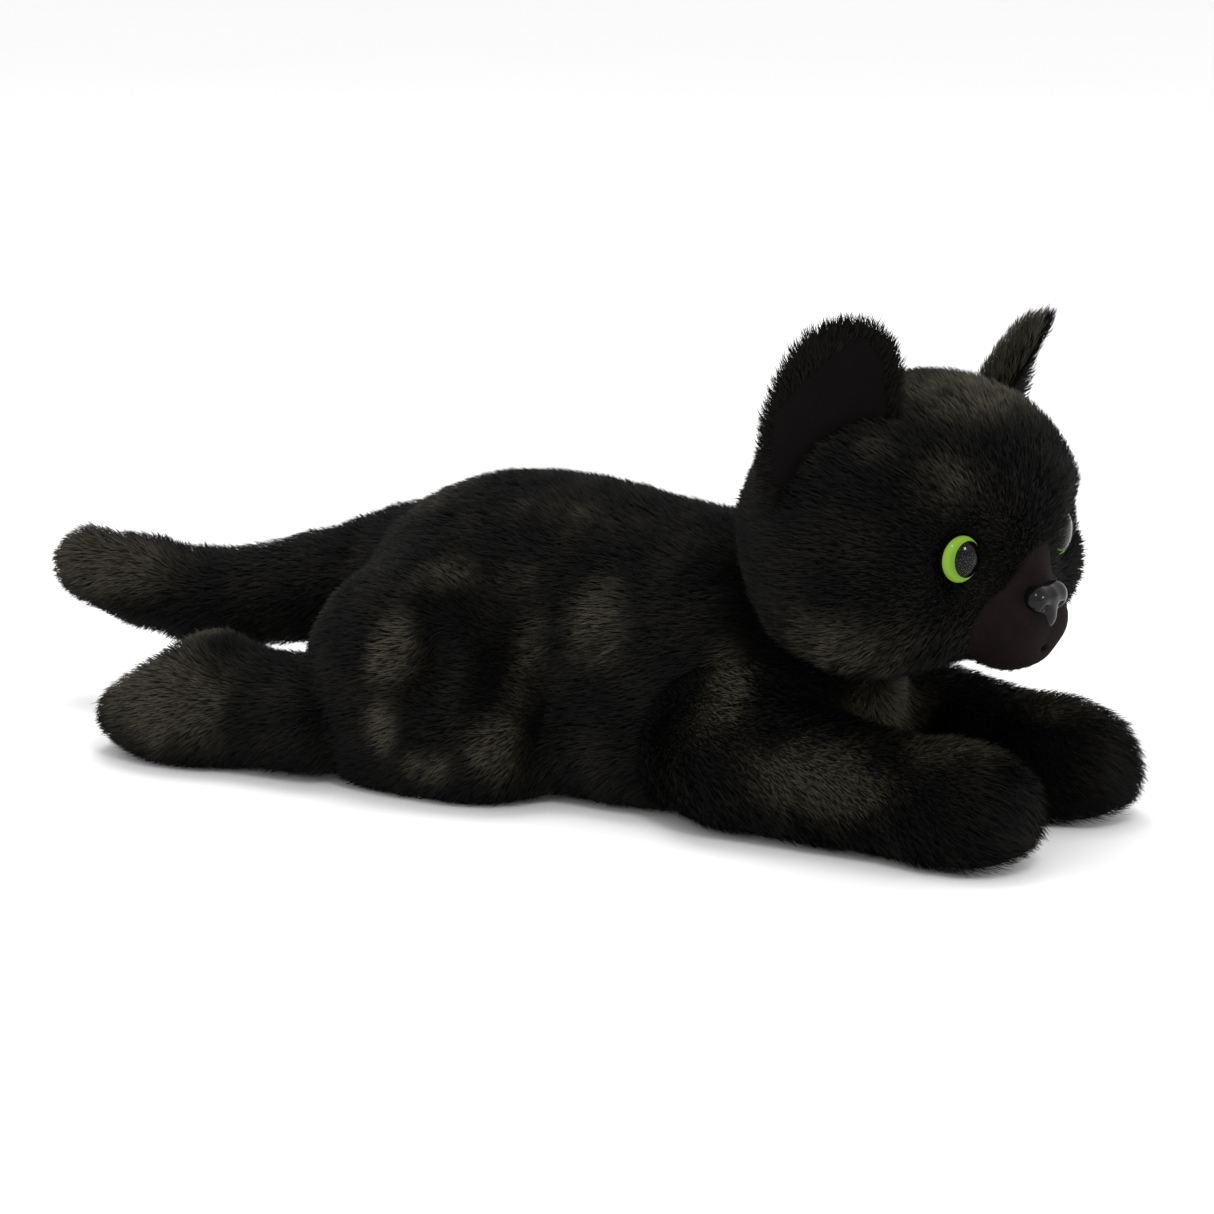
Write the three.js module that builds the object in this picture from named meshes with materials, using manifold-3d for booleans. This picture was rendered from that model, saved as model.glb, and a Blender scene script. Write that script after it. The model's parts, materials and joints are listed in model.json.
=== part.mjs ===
// A stuffed plush cat that lies on its belly: front legs stretched forward, hind legs
// stretched back, tail held out behind. Millimetres, +Z up, the floor at z = 0.
// The cat faces -Y, so its right side is at -X. Fabric panels are separate open shells
// round separate stuffing, as the real toy is sewn.
import * as THREE from "three";
import { mergeVertices } from "three/addons/utils/BufferGeometryUtils.js";
import Module from "manifold-3d";

const wasm = await Module();
wasm.setup();

// ---------- Driving dimensions ----------

// Cloth and clearances
const fabricThickness = 2.2; // backing and the dense root of the pile
const seamGap = 0.5; // between two panels that are sewn edge to edge
const fillGap = 0.35; // between a panel and what it covers
const jointGap = 1.3; // round a root that turns in its socket

// Torso
const torsoRear = 68; // the rump's last point along Y
const torsoLength = 194;
const torsoHalfWidth = 48;
const torsoHeight = 96;
const bellyPanelHeight = 16; // where the belly panel meets the side panels
const haunch = { x: 47, y: 20, z: 32, rx: 30, ry: 40, rz: 46 };

// Head
const headCentre = new THREE.Vector3(0, -137, 96);
const headRadii = new THREE.Vector3(57, 49, 46);
const muzzleCentre = new THREE.Vector3(0, -171, 73);
const muzzleRadii = new THREE.Vector3(26, 20, 17);
const muzzleDepth = 13; // how far the muzzle panels reach back from its front
const padHalfWidth = 24; // from the middle to the outer edge of each muzzle pad
const padTop = 85;
const bridgeHalfWidth = 9;
const bridgeTop = 101;
const crownHalfWidth = 17;
const chinHalfWidth = 15;
const neckPivotBehind = 16; // from the head's centre back to the turning axis
const headTurn = 20; // degrees to each side
const headRest = -5; // degrees that the head is turned at rest, towards the cat's right

// Eyes and nose
const eyeRadius = 7.5;
const eyeSpacing = 56;
const eyeHeight = 96;
const eyeOutward = 17; // degrees that each eye looks away from straight ahead
const eyeInset = 3.2; // how deep the dome's rim sits below the head's surface
const lensHeight = 4.6;
const irisThickness = 1.6;
const stemRadius = 2;
const stemLength = 12;
const washerRadius = 6.5;
const washerThickness = 1.4;
const washerBore = stemRadius + 0.3;
const nose = { halfWidth: 7.2, halfHeight: 5.4, depth: 4.6, z: 80 };

// Ears
const ear = { halfWidth: 28, height: 50, layer: 2.1, cup: 7, tipPower: 1.8 };
const earBase = new THREE.Vector3(41, -135, 114);
const earLean = 0.58; // how far the tip leans inward for each unit of height
const earFold = 12; // degrees each way

// Legs: the root ball turns in the torso, and the rest runs from it to the paw
const frontRoot = new THREE.Vector3(39, -101, 21);
const frontRootRadius = 22.5;
const frontPaw = { x: 34, y: -186, halfWidth: 20.5, halfHeight: 18, tip: 17 };
const frontSoleLength = 34;
const frontSplay = 28; // degrees outward
const hindRoot = new THREE.Vector3(62, 53, 22);
const hindRootRadius = 22;
const hindFoot = { length: 95, halfWidth: 23, height: 43 };
const hindSplay = 20;
const hindRest = { right: 0, left: 12 }; // degrees that each foot lies splayed at rest
const inwardPlay = 3; // degrees that a leg can swing towards its neighbour
const pelletBag = { halfLength: 13, halfWidth: 11, height: 9 };

// Tail
const tailRoot = new THREE.Vector3(0, 60, 63);
const tailRootRadius = 18;
const tailReach = 146; // from the root's centre to the tip, along Y
const tailTip = { x: -20, z: 50, radius: 12.5 };
const tailSag = 15; // how far the middle hangs below the line from root to tip
const tailSwing = 25;

// ---------- Solids ----------

const deg = THREE.MathUtils.degToRad;
const UP = new THREE.Vector3(0, 0, 1);
const FAR = 400; // reaches past the whole toy

// The closed mesh as a solid that can be cut and joined.
function solid(geometry) {
  const bare = geometry.clone();
  bare.deleteAttribute("normal");
  bare.deleteAttribute("uv");
  const merged = mergeVertices(bare, 1e-4);
  const mesh = new wasm.Mesh({
    numProp: 3,
    vertProperties: new Float32Array(merged.attributes.position.array),
    triVerts: new Uint32Array(merged.index.array),
  });
  return new wasm.Manifold(mesh);
}

// Everything between two corners.
function block(low, high) {
  const size = high.map((value, i) => value - low[i]);
  const box = new THREE.BoxGeometry(...size);
  box.translate(...high.map((value, i) => (value + low[i]) / 2));
  return solid(box);
}

const above = (z) => block([-FAR, -FAR, z], [FAR, FAR, FAR]);
const below = (z) => block([-FAR, -FAR, -FAR], [FAR, FAR, z]);
const rightOf = (x) => block([-FAR, -FAR, -FAR], [x, FAR, FAR]);
const leftOf = (x) => block([x, -FAR, -FAR], [FAR, FAR, FAR]);
const inFrontOf = (y) => block([-FAR, -FAR, -FAR], [FAR, y, FAR]);
const behind = (y) => block([-FAR, y, -FAR], [FAR, FAR, FAR]);

// An ellipsoid with its poles on the Y axis.
function ellipsoid(centre, radii, sides = 16, rings = 9) {
  const ball = new THREE.SphereGeometry(1, sides, rings);
  ball.rotateX(Math.PI / 2);
  ball.scale(radii.x, radii.y, radii.z);
  ball.translate(centre.x, centre.y, centre.z);
  return solid(ball);
}

// A round-ended stuffed tube. Each station is { at, wide, high }: a centre and the two half
// sizes of an upright oval. The first and last stations bulge out by their cap lengths.
function stuffedTube(stations, { inset = 0, rootCap, tipCap, sides = 10, steps = 5 }) {
  const capRings = 2;
  const path = new THREE.CatmullRomCurve3(stations.map((s) => s.at), false, "centripetal");
  const sizes = new THREE.SplineCurve(stations.map((s) => new THREE.Vector2(s.wide, s.high)));
  const rings = [];
  const addRing = (t, share, push) => {
    const along = path.getTangent(t).normalize();
    const across = new THREE.Vector3().crossVectors(along, UP).normalize();
    const lift = new THREE.Vector3().crossVectors(across, along).normalize();
    const size = sizes.getPoint(t);
    const centre = path.getPoint(t).addScaledVector(along, push);
    rings.push({
      centre,
      across: across.multiplyScalar((size.x - inset) * share),
      lift: lift.multiplyScalar((size.y - inset) * share),
    });
  };
  for (let i = 1; i <= capRings; i++) {
    const angle = (i / (capRings + 1)) * (Math.PI / 2);
    addRing(0, Math.sin(angle), -(rootCap - inset) * Math.cos(angle));
  }
  for (let i = 0; i <= steps; i++) addRing(i / steps, 1, 0);
  for (let i = capRings; i >= 1; i--) {
    const angle = (i / (capRings + 1)) * (Math.PI / 2);
    addRing(1, Math.sin(angle), (tipCap - inset) * Math.cos(angle));
  }
  const start = path.getPoint(0).addScaledVector(path.getTangent(0), -(rootCap - inset));
  const end = path.getPoint(1).addScaledVector(path.getTangent(1), tipCap - inset);
  const points = [start];
  for (const ring of rings) {
    for (let i = 0; i < sides; i++) {
      const angle = (i / sides) * 2 * Math.PI;
      const point = ring.centre.clone();
      point.addScaledVector(ring.across, Math.cos(angle));
      point.addScaledVector(ring.lift, Math.sin(angle));
      points.push(point);
    }
  }
  points.push(end);
  const faces = [];
  const last = points.length - 1;
  for (let i = 0; i < sides; i++) {
    const next = (i + 1) % sides;
    faces.push(0, 1 + i, 1 + next);
    faces.push(last, last - sides + next, last - sides + i);
    for (let r = 0; r < rings.length - 1; r++) {
      const a = 1 + r * sides;
      const b = a + sides;
      faces.push(a + i, b + next, a + next);
      faces.push(a + i, b + i, b + next);
    }
  }
  const geometry = new THREE.BufferGeometry().setFromPoints(points);
  geometry.setIndex(faces);
  return solid(geometry);
}

// A curved sheet between two depths: place(u, v, depth) gives its points, u from -1 to 1
// across and v from 0 to 1 up.
function sheet(place, low, high, columns = 8, rows = 6) {
  const points = [];
  for (const depth of [low, high]) {
    for (let j = 0; j <= rows; j++) {
      for (let i = 0; i <= columns; i++) {
        points.push(place((2 * i) / columns - 1, j / rows, depth));
      }
    }
  }
  const row = columns + 1;
  const layer = row * (rows + 1);
  const faces = [];
  const quad = (a, b, c, d) => faces.push(a, b, c, a, c, d);
  for (let j = 0; j < rows; j++) {
    for (let i = 0; i < columns; i++) {
      const a = j * row + i;
      quad(a, a + row, a + row + 1, a + 1);
      quad(layer + a, layer + a + 1, layer + a + row + 1, layer + a + row);
    }
  }
  for (let i = 0; i < columns; i++) {
    const top = rows * row + i;
    quad(i, i + 1, layer + i + 1, layer + i);
    quad(top + 1, top, layer + top, layer + top + 1);
  }
  for (let j = 0; j < rows; j++) {
    const left = j * row;
    const right = left + columns;
    quad(left + row, left, layer + left, layer + left + row);
    quad(right, right + row, layer + right + row, layer + right);
  }
  const geometry = new THREE.BufferGeometry().setFromPoints(points);
  geometry.setIndex(faces);
  const made = solid(geometry);
  return made.volume() > 0 ? made : solid(flipped(geometry));
}

function flipped(geometry) {
  const index = [...geometry.index.array];
  for (let i = 0; i < index.length; i += 3) [index[i], index[i + 1]] = [index[i + 1], index[i]];
  const turned = geometry.clone();
  turned.setIndex(index);
  return turned;
}

// A stuffed form in three layers: its outside, the inside of its cloth, and its filling.
// form(inset) gives the form made smaller by the inset; it lies flat on the floor.
function layersOf(form) {
  const flatOn = (inset) => form(inset).intersect(above(inset));
  return {
    outer: flatOn(0),
    inner: flatOn(fabricThickness),
    fill: flatOn(fabricThickness + fillGap),
  };
}

// The space that a form sweeps as it turns about an axis, in a few steps.
function swept(form, pivot, axis, from, to) {
  const step = 18;
  const count = Math.max(1, Math.ceil((to - from) / step));
  let space = turn(form, pivot, axis, from);
  for (let i = 1; i <= count; i++) {
    space = space.add(turn(form, pivot, axis, from + ((to - from) * i) / count));
  }
  return space;
}

function turn(form, pivot, axis, degrees) {
  const matrix = new THREE.Matrix4().makeTranslation(pivot);
  matrix.multiply(new THREE.Matrix4().makeRotationAxis(axis, deg(degrees)));
  matrix.multiply(new THREE.Matrix4().makeTranslation(pivot.clone().negate()));
  return form.transform(matrix.elements);
}

const mirrored = (form) => form.mirror([1, 0, 0]);
const mirroredPoint = (point) => new THREE.Vector3(-point.x, point.y, point.z);

// ---------- The toy's parts ----------

const toy = new THREE.Group();
const cloths = {
  plush: { color: 0x14130f, roughness: 0.85, metalness: 0 },
  velboa: { color: 0x1c1414, roughness: 0.9, metalness: 0 },
  fibre: { color: 0xe8e6e0, roughness: 1, metalness: 0 },
  pellets: { color: 0xcfc8b4, roughness: 0.7, metalness: 0 },
  clear: { color: 0xdfe6dc, roughness: 0.05, metalness: 0, transparent: true, opacity: 0.35 },
  iris: { color: 0x7fb32c, roughness: 0.3, metalness: 0 },
  gloss: { color: 0x0a0a0a, roughness: 0.15, metalness: 0 },
  washer: { color: 0xb9b9b4, roughness: 0.5, metalness: 0 },
};

// Adds one piece to the toy under its name.
function addPiece(name, form, cloth) {
  const mesh = form.getMesh();
  const geometry = new THREE.BufferGeometry();
  geometry.setAttribute("position", new THREE.BufferAttribute(mesh.vertProperties, 3));
  geometry.setIndex(new THREE.BufferAttribute(mesh.triVerts, 1));
  geometry.computeVertexNormals();
  const piece = new THREE.Mesh(geometry, new THREE.MeshStandardMaterial(cloths[cloth]));
  piece.name = name;
  toy.add(piece);
}

// The torso: oval sections along Y whose back and underside follow these shares of the
// torso's length, half width and height, with a haunch swelling out at each side.
const torsoSections = [
  { along: 0.11, wide: 0.62, top: 0.84, bottom: 0.1 },
  { along: 0.25, wide: 0.96, top: 0.94, bottom: -0.06 },
  { along: 0.42, wide: 1, top: 1, bottom: -0.1 },
  { along: 0.6, wide: 0.98, top: 0.98, bottom: -0.1 },
  { along: 0.76, wide: 0.94, top: 0.91, bottom: -0.08 },
  { along: 0.88, wide: 0.72, top: 0.68, bottom: -0.02 },
];
const torsoCaps = { rear: 0.11, front: 0.12 };

function torsoForm(inset) {
  const stations = torsoSections.map(({ along, wide, top, bottom }) => ({
    at: new THREE.Vector3(0, torsoRear - along * torsoLength, ((top + bottom) / 2) * torsoHeight),
    wide: wide * torsoHalfWidth,
    high: ((top - bottom) / 2) * torsoHeight,
  }));
  const caps = {
    rootCap: torsoCaps.rear * torsoLength,
    tipCap: torsoCaps.front * torsoLength,
  };
  const trunk = stuffedTube(stations, { inset, ...caps, sides: 16, steps: 7 });
  const radii = new THREE.Vector3(haunch.rx - inset, haunch.ry - inset, haunch.rz - inset);
  const bulge = ellipsoid(new THREE.Vector3(haunch.x, haunch.y, haunch.z), radii, 14, 8);
  return trunk.add(bulge).add(mirrored(bulge));
}

function headForm(inset) {
  const shrink = new THREE.Vector3(inset, inset, inset);
  const skull = ellipsoid(headCentre, headRadii.clone().sub(shrink), 20, 12);
  return skull.add(ellipsoid(muzzleCentre, muzzleRadii.clone().sub(shrink), 14, 8));
}

// The right front leg without its root ball; the left one mirrors it.
function frontLimb(inset) {
  const root = mirroredPoint(frontRoot);
  const paw = new THREE.Vector3(-frontPaw.x, frontPaw.y, frontPaw.halfHeight);
  const middle = root.clone().lerp(paw, 0.5);
  const wrist = root.clone().lerp(paw, 0.78);
  const stations = [
    { at: root, wide: frontRootRadius * 0.9, high: frontRootRadius * 0.9 },
    { at: middle, wide: frontPaw.halfWidth * 0.95, high: frontPaw.halfHeight * 1.02 },
    { at: wrist, wide: frontPaw.halfWidth, high: frontPaw.halfHeight },
    { at: paw, wide: frontPaw.halfWidth * 0.97, high: frontPaw.halfHeight * 0.98 },
  ];
  return stuffedTube(stations, { inset, rootCap: frontRootRadius * 0.9, tipCap: frontPaw.tip });
}

function rootBall(centre, radius, inset) {
  const size = radius - inset;
  return ellipsoid(centre, new THREE.Vector3(size, size, size), 12, 6);
}

// A hind leg at the right, before it is splayed: a thick ankle and a foot whose sole
// slopes down to the toes behind.
function hindLimb(inset) {
  const root = mirroredPoint(hindRoot);
  const half = hindFoot.height / 2;
  const at = (share, z) => new THREE.Vector3(root.x, root.y + share * hindFoot.length, z);
  const stations = [
    { at: root, wide: hindRootRadius * 0.9, high: hindRootRadius * 0.9 },
    { at: at(0.28, half - 1), wide: hindFoot.halfWidth * 0.86, high: half - 1 },
    { at: at(0.55, half), wide: hindFoot.halfWidth, high: half },
    { at: at(0.76, half * 0.62), wide: hindFoot.halfWidth * 0.96, high: half * 0.68 },
    { at: at(0.9, half * 0.34), wide: hindFoot.halfWidth * 0.84, high: half * 0.42 },
  ];
  const tip = 0.1 * hindFoot.length;
  const options = { inset, rootCap: hindRootRadius * 0.9, tipCap: tip, steps: 6 };
  return stuffedTube(stations, options);
}

function tailLimb(inset) {
  const tip = new THREE.Vector3(tailTip.x, tailRoot.y + tailReach - tailTip.radius, tailTip.z);
  const along = (share, sag, size) => {
    const at = tailRoot.clone().lerp(tip, share);
    at.x = tailRoot.x + (tip.x - tailRoot.x) * share * share;
    at.z -= sag * tailSag;
    return { at, wide: size, high: size };
  };
  const slim = (share) => THREE.MathUtils.lerp(tailRootRadius * 0.92, tailTip.radius, share);
  const stations = [
    along(0, 0, slim(0)),
    along(0.3, 0.62, slim(0.2)),
    along(0.6, 1, slim(0.5)),
    along(0.85, 0.45, slim(0.85)),
    along(1, 0, tailTip.radius),
  ];
  const caps = { rootCap: tailRootRadius * 0.92, tipCap: tailTip.radius };
  return stuffedTube(stations, { inset, ...caps, sides: 10, steps: 6 });
}

// ---------- Legs ----------

const rightFrontPivot = mirroredPoint(frontRoot);
const rightHindPivot = mirroredPoint(hindRoot);

// A limb with the ball that turns in the torso's socket.
const withBall = (limb, pivot, radius) => (inset) => limb(inset).add(rootBall(pivot, radius, inset));
const frontLegForm = withBall(frontLimb, rightFrontPivot, frontRootRadius);
const hindLegForm = withBall(hindLimb, rightHindPivot, hindRootRadius);
const tailForm = withBall(tailLimb, tailRoot, tailRootRadius);

// A leg's panels, filling and pellet bag, on the right side. splitX parts the outer panel
// from the inner one, and soleSpace is the region that the sole panel takes.
function legPieces(form, splitX, soleSpace, bagCentre) {
  const layers = layersOf(form);
  const shell = layers.outer.subtract(layers.inner);
  const sole = shell.intersect(soleSpace(0));
  const upper = shell.subtract(soleSpace(seamGap));
  const bag = layers.fill.intersect(bagForm(bagCentre, 0));
  return {
    outer: upper.intersect(rightOf(splitX - seamGap / 2)),
    inner: upper.intersect(leftOf(splitX + seamGap / 2)),
    sole,
    stuffing: layers.fill.subtract(bagForm(bagCentre, fillGap)),
    pellet_bag: bag,
  };
}

// A flattened bag that lies on the lining below it.
function bagForm(centre, grow, size = pelletBag) {
  const radii = new THREE.Vector3(size.halfWidth + grow, size.halfLength + grow, size.height + grow);
  return ellipsoid(centre, radii, 12, 6);
}

const frontSoleRear = frontPaw.y - frontPaw.tip + frontSoleLength;
const frontSoleSpace = (grow) => below(4 + grow).intersect(inFrontOf(frontSoleRear + grow));
const liningHeight = fabricThickness + fillGap;
const frontBag = new THREE.Vector3(-frontPaw.x, frontPaw.y + 6, liningHeight);
const frontLeg = legPieces(frontLegForm, -frontPaw.x, frontSoleSpace, frontBag);

// The hind sole faces up and back: the region above a plane that slopes down to the toes.
function hindSoleSpace(grow) {
  const heel = new THREE.Vector3(0, hindRoot.y + 0.6 * hindFoot.length, hindFoot.height - 2);
  const slope = Math.atan2(hindFoot.height * 0.72, 0.4 * hindFoot.length);
  const region = block([-FAR, -0.2 * FAR, -2.5 - grow], [FAR, FAR, FAR]);
  const tilt = new THREE.Matrix4().makeTranslation(heel);
  tilt.multiply(new THREE.Matrix4().makeRotationX(-slope));
  return region.transform(tilt.elements).intersect(behind(heel.y - 4 - grow));
}

const hindBag = new THREE.Vector3(-hindRoot.x, hindRoot.y + 0.55 * hindFoot.length, liningHeight);
const hindLeg = legPieces(hindLegForm, -hindRoot.x, hindSoleSpace, hindBag);

const legSets = [
  { name: "front_leg", pieces: frontLeg, pivot: rightFrontPivot, rest: { right: 0, left: 0 } },
  { name: "hind_leg", pieces: hindLeg, pivot: rightHindPivot, rest: hindRest },
];
const legCloth = {
  outer: "plush",
  inner: "plush",
  sole: "velboa",
  stuffing: "fibre",
  pellet_bag: "pellets",
};
for (const { name, pieces, pivot, rest } of legSets) {
  for (const [part, form] of Object.entries(pieces)) {
    const right = turn(form, pivot, UP, rest.right);
    const left = turn(form, pivot, UP, rest.left);
    addPiece(`${name}_${part}_right`, right, legCloth[part]);
    addPiece(`${name}_${part}_left`, mirrored(left), legCloth[part]);
  }
}

// ---------- Tail ----------

const tail = layersOf(tailForm);
const tailShell = tail.outer.subtract(tail.inner);
addPiece("tail_right", tailShell.intersect(besideTail(-1)), "plush");
addPiece("tail_left", tailShell.intersect(besideTail(1)), "plush");
addPiece("tail_stuffing", tail.fill, "fibre");

// One side of the upright surface that runs along the middle of the curved tail.
function besideTail(side) {
  const reach = 60;
  const place = (u, v, depth) => {
    const y = tailRoot.y - tailRootRadius * 2 + v * (tailReach + tailRootRadius * 4);
    const share = Math.max(0, (y - tailRoot.y) / (tailReach - tailTip.radius));
    const x = tailRoot.x + (tailTip.x - tailRoot.x) * share * share;
    return new THREE.Vector3(x + depth, y, tailRoot.z + 2 * reach * u);
  };
  const near = (side * seamGap) / 2;
  return sheet(place, Math.min(near, side * reach), Math.max(near, side * reach), 2, 12);
}

// ---------- Head ----------

const headPivot = new THREE.Vector3(0, headCentre.y + neckPivotBehind, headCentre.z);

// Adds a piece of the head, which is modelled looking straight ahead and then turned.
function addHeadPiece(name, form, cloth) {
  addPiece(name, turn(form, headPivot, UP, headRest), cloth);
}

const head = {
  outer: headForm(0),
  inner: headForm(fabricThickness),
  fill: headForm(fabricThickness + fillGap),
};

// How far forward the surface lies at a height and a distance from the middle.
function surfaceFront(centre, radii, x, z) {
  const rest = 1 - ((x - centre.x) / radii.x) ** 2 - ((z - centre.z) / radii.z) ** 2;
  return centre.y - radii.y * Math.sqrt(Math.max(0, rest));
}

// Turned pieces of an eye, built with their axis along +Z and the dome's rim at z = 0.
function turned(profile, sides = 14) {
  const points = profile.map(([r, z]) => new THREE.Vector2(r, z));
  const lathe = new THREE.LatheGeometry(points, sides);
  lathe.rotateX(Math.PI / 2);
  const made = solid(lathe);
  return made.volume() > 0 ? made : solid(flipped(lathe));
}

const domeProfile = (radius, height, steps) =>
  Array.from({ length: steps + 1 }, (_, i) => {
    const angle = (i / steps) * (Math.PI / 2);
    return [radius * Math.cos(angle), height * Math.sin(angle)];
  });
const lens = turned([[0, 0], ...domeProfile(eyeRadius, lensHeight, 4)]);
const irisBack = -fillGap - irisThickness;
const iris = turned([
  [0, -fillGap],
  [eyeRadius, -fillGap],
  [eyeRadius, irisBack],
  [stemRadius, irisBack],
  [stemRadius, irisBack - stemLength],
  [0, irisBack - stemLength],
]);
const washerFront = irisBack - 5;
const washer = turned([
  [washerBore, washerFront],
  [washerRadius, washerFront],
  [washerRadius, washerFront - washerThickness],
  [washerBore, washerFront - washerThickness],
  [washerBore, washerFront],
]);
const eyePocket = turned([
  [0, FAR / 8],
  [eyeRadius + fillGap, FAR / 8],
  [eyeRadius + fillGap, irisBack - fillGap],
  [stemRadius + fillGap, irisBack - fillGap],
  [stemRadius + fillGap, washerFront + fillGap],
  [washerRadius + fillGap, washerFront + fillGap],
  [washerRadius + fillGap, washerFront - washerThickness - fillGap],
  [stemRadius + fillGap, washerFront - washerThickness - fillGap],
  [stemRadius + fillGap, irisBack - stemLength - fillGap],
  [0, irisBack - stemLength - fillGap],
]);

// Sets a turned piece in the head: its +Z axis looks forward, and outward by an angle.
function setInHead(form, point, outward, lift = 0) {
  const matrix = new THREE.Matrix4().makeTranslation(point);
  matrix.multiply(new THREE.Matrix4().makeRotationZ(deg(-outward)));
  matrix.multiply(new THREE.Matrix4().makeRotationX(Math.PI / 2 - deg(lift)));
  return form.transform(matrix.elements);
}

const eyeX = -eyeSpacing / 2;
const eyeFront = surfaceFront(headCentre, headRadii, eyeX, eyeHeight);
const eyePoint = new THREE.Vector3(eyeX, eyeFront + eyeInset, eyeHeight);
const inRightSocket = (form) => setInHead(form, eyePoint, eyeOutward);

// The nose: a flattened dome on a stem, set on the muzzle's front.
const noseY = surfaceFront(muzzleCentre, muzzleRadii, 0, nose.z);
const nosePoint = new THREE.Vector3(0, noseY - 0.4, nose.z);
const noseStem = (grow) =>
  turned([
    [0, 0.5],
    [stemRadius + grow, 0.5],
    [stemRadius + grow, -stemLength - grow],
    [0, -stemLength - grow],
  ]);
const noseDome = turned([[0, 0], ...domeProfile(1, 1, 4)]);
const noseCap = noseDome.scale([nose.halfWidth, nose.halfHeight, nose.depth]).add(noseStem(0));
const nosePocket = noseStem(fillGap)
  .add(noseDome.scale([nose.halfWidth + 1, nose.halfHeight + 1, nose.depth + 1]))
  .add(
    turned([
      [0, 0.6],
      [nose.halfHeight, 0.6],
      [nose.halfHeight, -fillGap],
      [0, -fillGap],
    ]),
  );
const noseLift = 20; // degrees that the nose looks up
const inMuzzle = (form) => setInHead(form, nosePoint, 0, noseLift);
const noseWasherSpace = turned([
  [0, washerFront + fillGap],
  [washerRadius + fillGap, washerFront + fillGap],
  [washerRadius + fillGap, washerFront - washerThickness - fillGap],
  [0, washerFront - washerThickness - fillGap],
]);

const rightEye = inRightSocket(eyePocket);
const openings = rightEye
  .add(mirrored(rightEye))
  .add(inMuzzle(nosePocket))
  .add(inMuzzle(noseWasherSpace));
const headShell = head.outer.subtract(head.inner).subtract(openings);
addHeadPiece("head_stuffing", head.fill.subtract(openings), "fibre");

const muzzleFront = muzzleCentre.y - muzzleRadii.y;
const bridgeBottom = nose.z - 2;
const bridgeSpace = (grow) =>
  block(
    [-bridgeHalfWidth - grow, -FAR, bridgeBottom - grow],
    [bridgeHalfWidth + grow, headCentre.y, bridgeTop + grow],
  );
const padSpace = (grow) =>
  block(
    [-padHalfWidth - grow, -FAR, -FAR],
    [padHalfWidth + grow, muzzleFront + muzzleDepth + grow, padTop + grow],
  );
const muzzleSpace = (grow) => padSpace(grow).add(bridgeSpace(grow));
const muzzle = headShell.intersect(muzzleSpace(0));
const plushShell = headShell.subtract(muzzleSpace(seamGap));
addHeadPiece("muzzle_bridge", muzzle.intersect(bridgeSpace(0)), "velboa");
const pads = muzzle.subtract(bridgeSpace(seamGap));
addHeadPiece("muzzle_pad_right", pads.intersect(rightOf(-seamGap / 2)), "velboa");
addHeadPiece("muzzle_pad_left", pads.intersect(leftOf(seamGap / 2)), "velboa");

const crownSpace = (grow) =>
  block([-crownHalfWidth - grow, -FAR, headCentre.z - grow], [crownHalfWidth + grow, FAR, FAR]);
const chinSpace = (grow) =>
  block(
    [-chinHalfWidth - grow, muzzleFront + muzzleDepth - grow, -FAR],
    [chinHalfWidth + grow, FAR, headCentre.z - seamGap + grow],
  );
addHeadPiece("crown_gusset", plushShell.intersect(crownSpace(0)), "plush");
addHeadPiece("chin_panel", plushShell.intersect(chinSpace(0)), "plush");
const cheeks = plushShell.subtract(crownSpace(seamGap)).subtract(chinSpace(seamGap));
addHeadPiece("head_side_right", cheeks.intersect(rightOf(0)), "plush");
addHeadPiece("head_side_left", cheeks.intersect(leftOf(0)), "plush");

const eyeParts = { eye_lens: lens, eye_iris: iris, eye_washer: washer };
const eyeCloth = { eye_lens: "clear", eye_iris: "iris", eye_washer: "washer" };
for (const [name, form] of Object.entries(eyeParts)) {
  const right = inRightSocket(form);
  addHeadPiece(`${name}_right`, right, eyeCloth[name]);
  addHeadPiece(`${name}_left`, mirrored(right), eyeCloth[name]);
}
addHeadPiece("nose_cap", inMuzzle(noseCap), "gloss");
addHeadPiece("nose_washer", inMuzzle(washer), "washer");

// ---------- Ears ----------

// The ear's own axes: along its base, up to its tip, and out of its hollow side.
const earAlong = new THREE.Vector3(0.51, 0.54, -0.67).normalize();
const earFacing = new THREE.Vector3(0.53, -0.81, -0.25);
earFacing.addScaledVector(earAlong, -earFacing.dot(earAlong)).normalize();
const earUp = new THREE.Vector3().crossVectors(earFacing, earAlong).normalize();
if (earUp.z < 0) earUp.negate();

// A point of the left ear: its outline narrows to a round tip, and its rims curl forward.
function earPoint(u, v, depth) {
  const width = ear.halfWidth * Math.max(0.05, Math.sqrt(1 - v ** ear.tipPower));
  const point = earBase.clone();
  point.addScaledVector(earAlong, u * width - v * earLean * ear.height);
  point.addScaledVector(earUp, v * ear.height);
  point.addScaledVector(earFacing, depth + ear.cup * ((u * width) / ear.halfWidth) ** 2);
  return point;
}

const foldPivot = earBase.clone().addScaledVector(earUp, 12);
const headSpace = headForm(-jointGap);
const clearOfHead = swept(headSpace, foldPivot, earAlong, -earFold, earFold);
const leftEar = {
  ear_back: sheet(earPoint, -ear.layer - fillGap, -fillGap).subtract(clearOfHead),
  ear_lining: sheet(earPoint, 0, ear.layer).subtract(clearOfHead),
};
for (const [name, form] of Object.entries(leftEar)) {
  addHeadPiece(`${name}_left`, form, name === "ear_back" ? "plush" : "velboa");
  addHeadPiece(`${name}_right`, mirrored(form), name === "ear_back" ? "plush" : "velboa");
}

// ---------- Torso ----------

// The socket that a limb needs: room for its ball, and for the limb at each angle.
function socket(limb, pivot, radius, from, to) {
  const room = swept(limb(-jointGap), pivot, UP, from, to);
  return room.add(rootBall(pivot, radius, -jointGap));
}

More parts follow.
